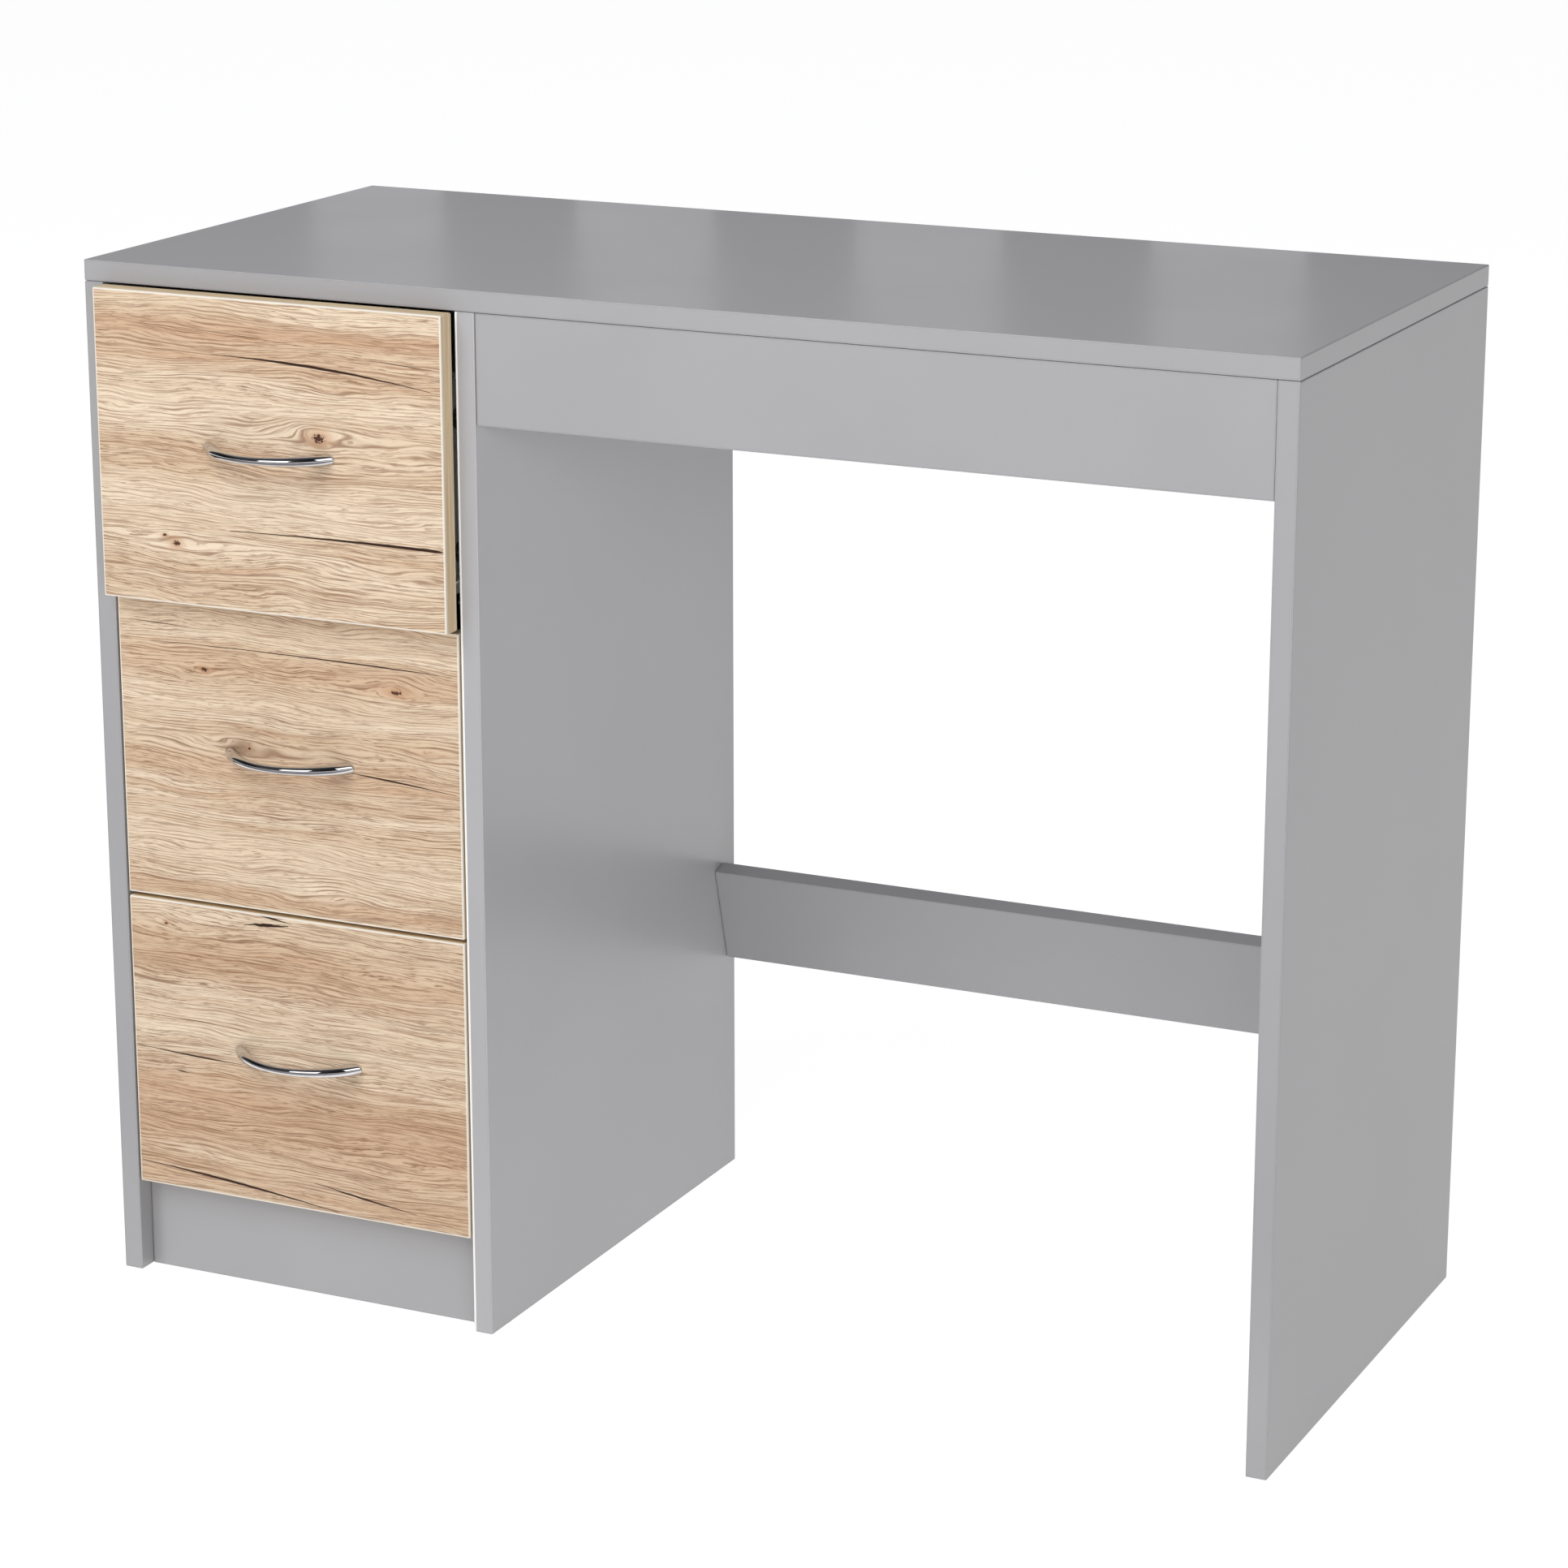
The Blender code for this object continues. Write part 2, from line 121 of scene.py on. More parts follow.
floor_corner = Vector((FLOOR_SIDE / 2, FLOOR_SIDE / 2, 0))
flat_sheet("floor", -floor_corner, floor_corner, FLOOR_GREY, FLOOR_GLOW)
mat_left = desk_low.x - MAT_LEFT
mat_front = desk_low.y - MAT_FRONT
dark_mat("front_mat", mat_left, mat_front, desk_high.x + MAT_RIGHT, desk_low.y - MAT_GAP,
         FRONT_MAT_GLOW)
dark_mat("left_mat", mat_left - LEFT_MAT_WIDTH, mat_front, mat_left,
         desk_high.y + LEFT_MAT_BEHIND, LEFT_MAT_GLOW)

# The room is lighter behind the desk than in front of it, and dimmer far to either side.
ROOM_BEHIND = (0.43, 0.43, 0.45, 1)
ROOM_AHEAD = (0.06, 0.06, 0.065, 1)
RIGHT_DIMMED = 0.25
LEFT_DIMMED = 0.15

world = bpy.data.worlds.new("studio")
scene.world = world
world.use_nodes = True
room = world.node_tree
way = room.nodes.new("ShaderNodeTexCoord")
heading = room.nodes.new("ShaderNodeSeparateXYZ")
room.links.new(way.outputs["Generated"], heading.inputs[0])


def across_room(axis, low, high, start=0.0, end=1.0):
    """Turns smoothly from start to end as the way looked along an axis goes from low to high."""
    made = room.nodes.new("ShaderNodeMapRange")
    made.interpolation_type = "SMOOTHSTEP"
    ends = {"From Min": low, "From Max": high, "To Min": start, "To Max": end}
    for name, value in ends.items():
        made.inputs[name].default_value = value
    room.links.new(heading.outputs[axis], made.inputs["Value"])
    return made.outputs[0]


tone = room.nodes.new("ShaderNodeMix")
tone.data_type = "RGBA"
tone.inputs[6].default_value = ROOM_AHEAD
tone.inputs[7].default_value = ROOM_BEHIND
room.links.new(across_room("Y", -0.35, 0.25), tone.inputs[0])
sides = room.nodes.new("ShaderNodeMath")
sides.operation = "MULTIPLY"
room.links.new(across_room("X", -0.85, -0.60, start=LEFT_DIMMED), sides.inputs[0])
room.links.new(across_room("X", 0.0, 0.7, start=1.0, end=RIGHT_DIMMED), sides.inputs[1])
room.links.new(tone.outputs[2], room.nodes["Background"].inputs["Color"])
room.links.new(sides.outputs[0], room.nodes["Background"].inputs["Strength"])

WATTS_PER_BRIGHTNESS = 4.0


def softbox(name, place, aim, width, height, brightness, shines=True, mirrored=True):
    """A flat lamp at a place, turned to a point. It can light things, be mirrored, or both."""
    lamp = bpy.data.lights.new(name, "AREA")
    lamp.shape = "RECTANGLE"
    lamp.size = width
    lamp.size_y = height
    lamp.energy = brightness * WATTS_PER_BRIGHTNESS * width * height
    stand = bpy.data.objects.new(name, lamp)
    stand.location = place
    stand.rotation_euler = (Vector(aim) - Vector(place)).to_track_quat("-Z", "Y").to_euler()
    stand.visible_camera = False
    stand.visible_diffuse = shines
    stand.visible_glossy = mirrored
    scene.collection.objects.link(stand)
    return stand


def around(turn, rise, distance):
    """A place so far from the desk, turned from its front to the right, and raised."""
    turn, rise = math.radians(turn), math.radians(rise)
    flat = distance * math.cos(rise)
    return desk_middle + Vector((flat * math.sin(turn), -flat * math.cos(turn),
                                 distance * math.sin(rise)))


softbox("left_softbox", around(-36, 26, 3.2), desk_middle, 1.1, 2.4, 1.6, mirrored=False)
softbox("front_fill", around(33, 7, 4.0), desk_middle, 3.2, 1.6, 2.6, mirrored=False)
softbox("overhead_fill", around(-14, 44, 4.0), desk_middle, 3.6, 3.0, 2.85, mirrored=False)
softbox("front_card", around(-3, 17, 3.2), desk_middle, 2.1, 1.5, 1.6, shines=False)
softbox("right_card", around(63, 20, 3.2), desk_middle, 1.2, 1.7, 1.5, shines=False)
# This lamp lights only the middle upright, which is linked to it when it is made.
kneehole_lamp = softbox("kneehole_fill", around(45, 5, 3.0), desk_middle, 1.5, 1.5, 3.3,
                        mirrored=False)
kneehole_lamp.light_linking.receiver_collection = bpy.data.collections.new("lit_in_kneehole")

STRIP_WIDTH = 0.122
STRIP_PITCH = 0.2435
STRIP_HEIGHT = 1.1
STRIP_BACK = 0.12
STRIP_FIRST = -0.066
STRIP_BELOW = 0.1
STRIP_BRIGHTNESS = 0.215
strip_rise = desk_high.z - STRIP_BELOW + STRIP_HEIGHT / 2
for count in range(4):
    across = desk_low.x + STRIP_FIRST + STRIP_PITCH * count
    middle = Vector((across, desk_high.y + STRIP_BACK, strip_rise))
    softbox(f"strip_{count}", middle, middle - Vector((0, 1, 0)), STRIP_WIDTH, STRIP_HEIGHT,
            STRIP_BRIGHTNESS, shines=False)


# ---- Desk top ----------------------------------------------------------------------------
# One 15 mm chipboard wrapped in satin grey foil, its edges banded with the same foil and
# eased by a scraper. It lies on the three uprights and is pulled down by cam fittings.
BAND_EDGE = 0.0008
EDGE_STEPS = 3
SEAM_IN = 0.00105
GREY = (0.330, 0.327, 0.337)
CHIPBOARD = (0.40, 0.35, 0.29, 1)
# The colour of a painted highlight on an arris.
PAINTED_HIGHLIGHT = (0.74, 0.72, 0.69, 1)


class Paint:
    """One value of a material, over the whole surface. Sums and products add its nodes."""

    def __init__(self, tree, socket):
        self.tree = tree
        self.socket = socket

    def node(self, kind, settings=None, inputs=None, output=0):
        made = self.tree.nodes.new(kind)
        for setting, value in (settings or {}).items():
            setattr(made, setting, value)
        for socket, value in (inputs or {}).items():
            if isinstance(value, Paint):
                self.tree.links.new(value.socket, made.inputs[socket])
            else:
                made.inputs[socket].default_value = value
        return Paint(self.tree, made.outputs[output])

    def maths(self, operation, *others):
        values = dict(enumerate((self, *others)))
        return self.node("ShaderNodeMath", {"operation": operation}, values)

    def __add__(self, other):
        return self.maths("ADD", other)

    def __sub__(self, other):
        return self.maths("SUBTRACT", other)

    def __mul__(self, other):
        return self.maths("MULTIPLY", other)

    def __truediv__(self, other):
        return self.maths("DIVIDE", other)

    def __pow__(self, other):
        return self.maths("POWER", other)

    def __rsub__(self, other):
        return self * -1 + other

    __radd__ = __add__
    __rmul__ = __mul__

    def lesser(self, other):
        return self.maths("MINIMUM", other)

    def greater(self, other):
        return self.maths("MAXIMUM", other)

    def size(self):
        return self.maths("ABSOLUTE")

    def between(self, low, high, start=0.0, end=1.0):
        """Turns smoothly from start to end as this value goes from low to high."""
        ends = {"From Min": low, "From Max": high, "To Min": start, "To Max": end, "Value": self}
        return self.node("ShaderNodeMapRange", {"interpolation_type": "SMOOTHSTEP"}, ends)

    def blend(self, colour, other):
        """One colour where this value is 0, and the other where it is 1."""
        ends = {0: self, 6: colour, 7: other}
        return self.node("ShaderNodeMix", {"data_type": "RGBA"}, ends, 2)

    def parts(self):
        """The three numbers of a place."""
        made = self.tree.nodes.new("ShaderNodeSeparateXYZ")
        self.tree.links.new(self.socket, made.inputs[0])
        return [Paint(self.tree, made.outputs[axis]) for axis in range(3)]

    def joined(self, second, third):
        """A place whose numbers are this value and two more."""
        return self.node("ShaderNodeCombineXYZ", {}, {0: self, 1: second, 2: third})

    def noise(self, scale=1.0, detail=2.0, roughness=0.5):
        """Cloudy noise from about 0 to 1 at each place."""
        inputs = {"Vector": self, "Scale": scale, "Detail": detail, "Roughness": roughness}
        return self.node("ShaderNodeTexNoise", {}, inputs)

    def bump(self, strength, distance):
        inputs = {"Height": self, "Strength": strength, "Distance": distance}
        return self.node("ShaderNodeBump", {}, inputs)


def solid(colour, times=1.0):
    return tuple(part * times for part in colour) + (1.0,)


def new_finish(name):
    """A material, its shader, and the place of each point on the desk."""
    material = bpy.data.materials.new(name)
    material.use_nodes = True
    tree = material.node_tree
    shader = tree.nodes["Principled BSDF"]
    made = tree.nodes.new("ShaderNodeTexCoord")
    return material, shader, Paint(tree, made.outputs["Object"])


def feed(shader, **values):
    """Links or sets the shader's sockets, whose names have _ for a space."""
    for name, value in values.items():
        socket = shader.inputs[name.replace("_", " ")]
        if isinstance(value, Paint):
            value.tree.links.new(value.socket, socket)
        else:
            socket.default_value = value


def edge_distance(place, low, high):
    """How far a point on a board is from the board's nearest edge."""
    nearest = []
    for part, start, end in zip(place.parts(), low, high):
        nearest.append((part - start).lesser(end - part).greater(0))
    x, y, z = nearest
    return (x + y).lesser(y + z).lesser(z + x)


def foil_finish(name, low, high, colour, roughness=0.30, turned=None, highlight_width=0.0):
    """Plain foil, a little cloudy, with scraped bands and small nicks at its edges.

    A leaning board is turned upright first. The last argument is the width of a pale strip
    painted on the front-left arris as a highlight."""
    material, shader, place = new_finish(name)
    if turned:
        place = place.node("ShaderNodeMapping", {}, {
            "Vector": place, "Location": turned[0], "Rotation": turned[1]})
    edge = edge_distance(place, low, high)
    clouds = place.noise(7, 3, 0.55)
    grain = place.noise(1400, 2, 0.6)
    worn = place.noise(55, 3, 0.6)
    nicks = worn.between(0.70, 0.76) * edge.between(0.0004, 0.0012, 1, 0)
    base = clouds.between(0.3, 0.7).blend(solid(colour, 0.975), solid(colour, 1.02))
    base = (grain * 0.30).blend(base, solid(colour, 0.90))
    seam = (edge - SEAM_IN).size().between(0.00004, 0.00022, 1, 0)
    base = (seam * 0.45).blend(base, solid(colour, 0.62))
    base = edge.between(0.0002, 0.0009, 0.40, 0).blend(base, solid(colour, 1.22))
    base = (nicks * 0.55).blend(base, CHIPBOARD)
    # A painted highlight: a pale strip along the front-left arris.
    if highlight_width:
        x, y, _ = place.parts()
        beside = (x - low.x).between(highlight_width * 0.8, highlight_width, 1, 0)
        strip = beside * (y - low.y).between(highlight_width, highlight_width * 1.5, 1, 0)
        base = (strip * 0.92).blend(base, PAINTED_HIGHLIGHT)
    peel = place.noise(420, 2, 0.5) * 0.6 + place.noise(38, 2, 0.5)
    height = peel - seam * 0.5 - nicks * 2.0
    feed(shader, Base_Color=base,
         Roughness=clouds.between(0.25, 0.75, roughness - 0.02, roughness + 0.03) + nicks * 0.3,
         Normal=height.bump(0.35, 0.00006))
    return material


def finished(name, shape, material, body, nodes=(), smooth=None):
    """Makes a shape a piece that rides on a body and may stand for plain nodes."""
    mesh = bpy.data.meshes.new(name)
    shape.to_mesh(mesh)
    shape.free()
    if smooth is not None:
        mesh.shade_smooth()
        mesh.set_sharp_from_angle(angle=math.radians(smooth))
    mesh.materials.append(material)
    piece = bpy.data.objects.new(name, mesh)
    scene.collection.objects.link(piece)
    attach(piece, body)
    if nodes:
        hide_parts(*nodes)
    return piece


def round_edges(shape, edges, radius):
    """Rounds some edges, and shades only the new strips as curved."""
    made = bmesh.ops.bevel(shape, geom=edges, offset=radius, segments=EDGE_STEPS, profile=0.5,
                           affect="EDGES", material=-1, clamp_overlap=True)
    for face in made["faces"]:
        face.smooth = True


def box_shape(low, high):
    """A plain board between two corners."""
    shape = bmesh.new()
    bmesh.ops.create_cube(shape, size=1.0)
    bmesh.ops.scale(shape, vec=high - low, verts=shape.verts)
    bmesh.ops.translate(shape, vec=(low + high) / 2, verts=shape.verts)
    return shape


def grey_board(node):
    """A foiled board in the place of a plain one."""
    low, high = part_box(node)
    shape = box_shape(low, high)
    round_edges(shape, shape.edges[:], BAND_EDGE)
    finish = foil_finish("foil_" + node, low, high, GREY)
    return finished(node + "_foiled", shape, finish, "carcass", [node])


grey_board("desk_top")


# ---- Uprights ----------------------------------------------------------------------------
# Three foiled boards stand on the floor. The two beside the drawers have a sawn groove near
# the rear edge, from top to bottom, for the hardboard back. Beside the drawers, the middle one
# has a pale strip painted on its front arris as a highlight. The right one closes the kneehole.
GROOVE_DEPTH = 0.006
PLAY = 0.0003
# The width of the painted highlight on the middle upright's front arris.
HIGHLIGHT_STRIP_WIDTH = 0.0021


def prism(outline, way):
    """A flat outline drawn out along a way."""
    shape = bmesh.new()
    start = [shape.verts.new(point) for point in outline]
    first = shape.faces.new(start)
    made = bmesh.ops.extrude_face_region(shape, geom=[first])
    end = [part for part in made["geom"] if isinstance(part, bmesh.types.BMVert)]
    bmesh.ops.translate(shape, vec=way, verts=end)
    bmesh.ops.recalc_face_normals(shape, faces=shape.faces)
    return shape


def grooved_upright(node, sign, highlight_width=0.0):
    """An upright grooved in its right face, or in its left face for a sign of -1."""
    low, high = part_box(node)
    back_low, back_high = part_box("pedestal_back_panel")
    face, far = (high.x, low.x) if sign > 0 else (low.x, high.x)
    front, rear = back_low.y - PLAY, back_high.y + PLAY
    plan = [(far, low.y), (face, low.y), (face, front), (face - sign * GROOVE_DEPTH, front),
            (face - sign * GROOVE_DEPTH, rear), (face, rear), (face, high.y), (far, high.y)]
    outline = [Vector((x, y, low.z)) for x, y in plan]
    shape = prism(outline, Vector((0, 0, high.z - low.z)))
    round_edges(shape, [edge for edge in shape.edges if edge.is_convex], BAND_EDGE)
    finish = foil_finish("foil_" + node, low, high, GREY, highlight_width=highlight_width)
    return finished(node + "_foiled", shape, finish, "carcass", [node])


grooved_upright("left_side_panel", 1)
middle_upright = grooved_upright("middle_side_panel", -1, highlight_width=HIGHLIGHT_STRIP_WIDTH)
kneehole_lamp.light_linking.receiver_collection.objects.link(middle_upright)
grey_board("right_end_panel")


# ---- Plinth and apron --------------------------------------------------------------------
# Two foiled boards between the uprights, held by dowels and cams: a plinth set back under
# the drawers, and an apron that stiffens the front of the top over the kneehole.
grey_board("plinth")
grey_board("front_apron")


# ---- Rear stretcher ----------------------------------------------------------------------
# A foiled board low down across the back of the kneehole. It leans, top edge forwards, and
# keeps the two uprights from spreading.
STRETCHER_THICK = 0.015
STRETCHER_TALL = 0.078
STRETCHER_LEAN = math.radians(15.5)

rail_low, rail_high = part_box("rear_stretcher")
rail_middle = (rail_low + rail_high) / 2
rail_half = Vector((rail_high.x - rail_low.x, STRETCHER_THICK, STRETCHER_TALL)) / 2
rail_shape = box_shape(-rail_half, rail_half)
round_edges(rail_shape, rail_shape.edges[:], BAND_EDGE)
rail_turn = Matrix.Rotation(STRETCHER_LEAN, 3, "X")
bmesh.ops.rotate(rail_shape, cent=(0, 0, 0), matrix=rail_turn, verts=rail_shape.verts)
bmesh.ops.translate(rail_shape, vec=rail_middle, verts=rail_shape.verts)
upright_again = (-(rail_turn.transposed() @ rail_middle), (-STRETCHER_LEAN, 0, 0))
rail_finish = foil_finish("foil_rear_stretcher", -rail_half, rail_half, GREY, turned=upright_again)
finished("rear_stretcher_foiled", rail_shape, rail_finish, "carcass",
         ["rear_stretcher"])


# ---- Hardboard back ----------------------------------------------------------------------
# A 3 mm hardboard slid into the grooves from below. Its front is lacquered white, and its
# rear shows the mesh that the wet fibres were pressed on.
SCREEN_PER_METRE = 2600
FIBRE_DARK = (0.16, 0.085, 0.04, 1)
FIBRE_BROWN = (0.29, 0.17, 0.09, 1)
FIBRE_PALE = (0.42, 0.29, 0.17, 1)
LACQUER_DULL = (0.74, 0.735, 0.71, 1)
LACQUER_WHITE = (0.79, 0.785, 0.765, 1)
LACQUER_STARTS = 0.0003
LACQUER_ENDS = 0.0006

back_low, back_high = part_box("pedestal_back_panel")


def hardboard_finish(name, white_side):
    """White lacquer where white_side is 1, and pressed brown fibres where it is 0."""
    material, shader, place = new_finish(name)
    white = white_side(place)
    x, y, z = place.parts()
    wires = [(part * SCREEN_PER_METRE).maths("SINE") for part in (x, y, z)]
    screen = wires[0] * wires[2] + wires[1] * 0.4
    fibres = place.noise(240, 4, 0.65)
    brown = fibres.between(0.3, 0.7).blend(FIBRE_DARK, FIBRE_BROWN)
    brown = (place.noise(900, 2, 0.7).between(0.6, 0.75) * 0.5).blend(brown, FIBRE_PALE)
    lacquer = place.noise(11, 3, 0.5).between(0.3, 0.7).blend(LACQUER_DULL, LACQUER_WHITE)
    height = (screen * 0.5 + fibres) * (1 - white) + place.noise(300, 2, 0.5) * 0.3
    feed(shader, Base_Color=white.blend(brown, lacquer),
         Roughness=white.between(0, 1, 0.82, 0.42),
         Normal=height.bump(0.5, 0.0002))
    return material


back_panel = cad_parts["pedestal_back_panel"]
back_panel.data.materials.clear()
back_panel.data.materials.append(hardboard_finish(
    "hardboard_back",
    lambda place: (back_high.y - place.parts()[1]).between(LACQUER_STARTS, LACQUER_ENDS)))


# ---- Floor glides ------------------------------------------------------------------------
# Six moulded plastic discs, each held in the foot of an upright by a steel nail through its
# middle, so that the foil doesn't chip when the desk is pushed along.
ROUND_SEGMENTS = 40
QUARTER_STEPS = 5

glide_plastic, glide_shader, glide_place = new_finish("glide_plastic")
feed(glide_shader,
     Base_Color=glide_place.noise(60, 3, 0.6).between(0.35, 0.7).blend(
         (0.76, 0.76, 0.74, 1), (0.62, 0.61, 0.58, 1)),
     Roughness=glide_place.noise(400, 2, 0.5).between(0.3, 0.7, 0.42, 0.58),
     Normal=glide_place.noise(1500, 2, 0.5).bump(0.3, 0.0001))


def turned_shape(profile, middle, axis, segments):
    """A profile of (radius, height) points spun round an axis through the middle."""
    axis = Vector(axis)
    side = axis.orthogonal().normalized()
    shape = bmesh.new()
    verts = [shape.verts.new(middle + side * radius + axis * rise) for radius, rise in profile]
    edges = [shape.edges.new(pair) for pair in zip(verts, verts[1:])]
    bmesh.ops.spin(shape, geom=verts + edges, cent=middle, axis=axis, angle=math.tau,
                   steps=segments, use_merge=True)
    bmesh.ops.remove_doubles(shape, verts=shape.verts, dist=0.000004)
    bmesh.ops.recalc_face_normals(shape, faces=shape.faces)
    return shape


quarter_turns = [math.radians(90) * step / QUARTER_STEPS for step in range(QUARTER_STEPS + 1)]
for side in ("left", "middle", "right"):
    for end in ("front", "back"):
        node = f"floor_glide_{side}_{end}"
        low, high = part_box(node)
        wide = (high.x - low.x) / 2
        tall = high.z - low.z
        foot = Vector(((low.x + high.x) / 2, (low.y + high.y) / 2, low.z))
        rim = [(wide - tall * (1 - math.sin(turn)), tall * (1 - math.cos(turn)))
               for turn in quarter_turns]
        dimple = [(0, 0.0006), (0.0013, 0.0006), (0.0016, 0.0002), (0.0021, 0)]
        shape = turned_shape(dimple + rim + [(0, tall)], foot, (0, 0, 1), ROUND_SEGMENTS)
        finished(node + "_moulded", shape, glide_plastic, "carcass", [node],
                 smooth=35)


# ---- Runners on the uprights -------------------------------------------------------------
# Each drawer runs in two rolled steel channels, coated with white epoxy and screwed to the
# uprights. A nylon roller turns on a rivet at the front end and carries the drawer.
SHEET = 0.0012
BEND_RADIUS = 0.0016
BEND_STEPS = 4
RIVET_RADIUS = 0.0019
RIVET_HEAD = 0.0034
RIVET_DOME = 0.0007
RIVET_RIM = 0.0011
RIVET_SEGMENTS = 28
SCREW_RADIUS = 0.0032
SCREW_PROUD = 0.0003
CHANNEL_SCREW_SHARES = (0.14, 0.5, 0.86)
DRAWERS = ("top", "middle", "bottom")
SIDES = (("left", -1), ("right", 1))

coated_steel, coated_shader, coated_place = new_finish("coated_steel")
rubbed = coated_place.noise(90, 4, 0.65).between(0.66, 0.72)
feed(coated_shader,
     Base_Color=rubbed.blend((0.72, 0.72, 0.69, 1), (0.42, 0.42, 0.41, 1)),
     Metallic=rubbed * 0.7,
     Roughness=coated_place.noise(700, 2, 0.5).between(0.3, 0.7, 0.30, 0.42),
     Normal=coated_place.noise(900, 2, 0.5).bump(0.25, 0.0001))

zinc, zinc_shader, zinc_place = new_finish("zinc_plate")
feed(zinc_shader,
     Base_Color=zinc_place.noise(600, 3, 0.6).between(0.3, 0.7).blend(
         (0.46, 0.46, 0.47, 1), (0.64, 0.64, 0.65, 1)),
     Metallic=1.0,
     Roughness=zinc_place.noise(1500, 2, 0.5).between(0.3, 0.7, 0.26, 0.44),
     Normal=zinc_place.noise(2500, 2, 0.5).bump(0.3, 0.0001))


def bent_sheet(path, way, inside):
    """A sheet bent along the path of its outer face, drawn out a way, and thick towards inside."""
    shape = bmesh.new()
    start = [shape.verts.new(point) for point in path]
    edges = [shape.edges.new(pair) for pair in zip(start, start[1:])]
    made = bmesh.ops.extrude_edge_only(shape, edges=edges)
    end = [part for part in made["geom"] if isinstance(part, bmesh.types.BMVert)]
    bmesh.ops.translate(shape, vec=way, verts=end)
    bends = [edge for edge in shape.edges if len(edge.link_faces) == 2]
    bmesh.ops.bevel(shape, geom=bends, offset=BEND_RADIUS, segments=BEND_STEPS, profile=0.5,
                    affect="EDGES", material=-1)
    shape.normal_update()
    web = max(shape.faces, key=lambda face: face.calc_area())
    if (inside - web.calc_center_median()).dot(web.normal) > 0:
        bmesh.ops.reverse_faces(shape, faces=shape.faces)
    bmesh.ops.solidify(shape, geom=shape.faces[:], thickness=SHEET)
    bmesh.ops.recalc_face_normals(shape, faces=shape.faces)
    return shape


def add_to(shape, other):
    """Puts a second closed shape into the same piece."""
    mesh = bpy.data.meshes.new("joined")
    other.to_mesh(mesh)
    other.free()
    shape.from_mesh(mesh)
    bpy.data.meshes.remove(mesh)


def rivet(root, axis, reach):
    """A roller's rivet, from a sheet's face to its domed head."""
    dome = [(RIVET_HEAD * math.cos(turn), reach - RIVET_DOME * (1 - math.sin(turn)))
            for turn in quarter_turns]
    profile = [(0, 0), (RIVET_RADIUS, 0), (RIVET_RADIUS, reach - RIVET_RIM),
               (RIVET_HEAD, reach - RIVET_RIM)] + dome
    return turned_shape(profile, root, axis, RIVET_SEGMENTS)


def cross_head(middle, axis, radius, proud, arm, width, deep):
    """The head of a screw or a cam: a flat disc with an eased rim and a sunk cross."""
    shape = bmesh.new()
    ring = bmesh.ops.create_circle(shape, segments=24, radius=radius * 0.90)
    ring_edges = list({edge for vert in ring["verts"] for edge in vert.link_edges})
    plus = []
    for quarter in range(4):
        turn = Matrix.Rotation(math.radians(90 * quarter), 3, "Z")
        for corner in ((arm, -width), (arm, width), (width, width)):
            plus.append(shape.verts.new(turn @ Vector((*corner, 0))))
    plus_edges = [shape.edges.new(pair) for pair in zip(plus, plus[1:] + plus[:1])]
    bmesh.ops.bridge_loops(shape, edges=ring_edges + plus_edges)
    sunk = bmesh.ops.extrude_edge_only(shape, edges=plus_edges)["geom"]
    sunk_verts = [part for part in sunk if isinstance(part, bmesh.types.BMVert)]
    sunk_edges = [part for part in sunk if isinstance(part, bmesh.types.BMEdge)]
    bmesh.ops.translate(shape, vec=(0, 0, -deep), verts=sunk_verts)
    bmesh.ops.scale(shape, vec=(0.8, 0.8, 1), verts=sunk_verts)
    bmesh.ops.holes_fill(shape, edges=sunk_edges, sides=0)
    rim = ring_edges
    for spread, drop in ((1.08, 0.25), (1.03, 0.35), (1.0, 1.4)):
        wider = bmesh.ops.extrude_edge_only(shape, edges=rim)["geom"]
        verts = [part for part in wider if isinstance(part, bmesh.types.BMVert)]
        rim = [part for part in wider if isinstance(part, bmesh.types.BMEdge)]
        bmesh.ops.scale(shape, vec=(spread, spread, 1), verts=verts)
        bmesh.ops.translate(shape, vec=(0, 0, -proud * drop), verts=verts)
    bmesh.ops.holes_fill(shape, edges=rim, sides=0)
    bmesh.ops.translate(shape, vec=(0, 0, proud), verts=shape.verts)
    bmesh.ops.recalc_face_normals(shape, faces=shape.faces)
    turn = Vector((0, 0, 1)).rotation_difference(Vector(axis)).to_matrix()
    bmesh.ops.rotate(shape, cent=(0, 0, 0), matrix=turn, verts=shape.verts)
    bmesh.ops.translate(shape, vec=middle, verts=shape.verts)
    return shape


def screw_heads(places, axis, radius=SCREW_RADIUS, proud=SCREW_PROUD):
    """A row of like screws in one piece."""
    shape = bmesh.new()
    for place in places:
        add_to(shape, cross_head(place, axis, radius, proud, radius * 0.55, radius * 0.13,
                                 radius * 0.45))
    return shape


for drawer in DRAWERS:
    for side, sign in SIDES:
        node = f"cabinet_runner_{drawer}_{side}"
        low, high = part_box(node)
        wall, tip = (low.x, high.x) if sign < 0 else (high.x, low.x)
        inner = wall - sign * SHEET
        section = [(tip, low.z), (wall, low.z), (wall, high.z), (tip, high.z)]
        path = [Vector((x, low.y, z)) for x, z in section]
        shape = bent_sheet(path, Vector((0, high.y - low.y, 0)), (low + high) / 2)
        wheel_low, wheel_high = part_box(f"cabinet_roller_{drawer}_{side}")
        wheel_middle = (wheel_low + wheel_high) / 2
        root = Vector((inner, wheel_middle.y, wheel_middle.z))
        add_to(shape, rivet(root, (-sign, 0, 0), abs(tip - inner)))
        finished(node + "_rolled", shape, coated_steel, "carcass", [node],
                 smooth=35)
        spots = [Vector((inner, low.y + share * (high.y - low.y), (low.z + high.z) / 2))
                 for share in CHANNEL_SCREW_SHARES]
        finished(f"cabinet_runner_screws_{drawer}_{side}", screw_heads(spots, (-sign, 0, 0)),
                 zinc, "carcass")


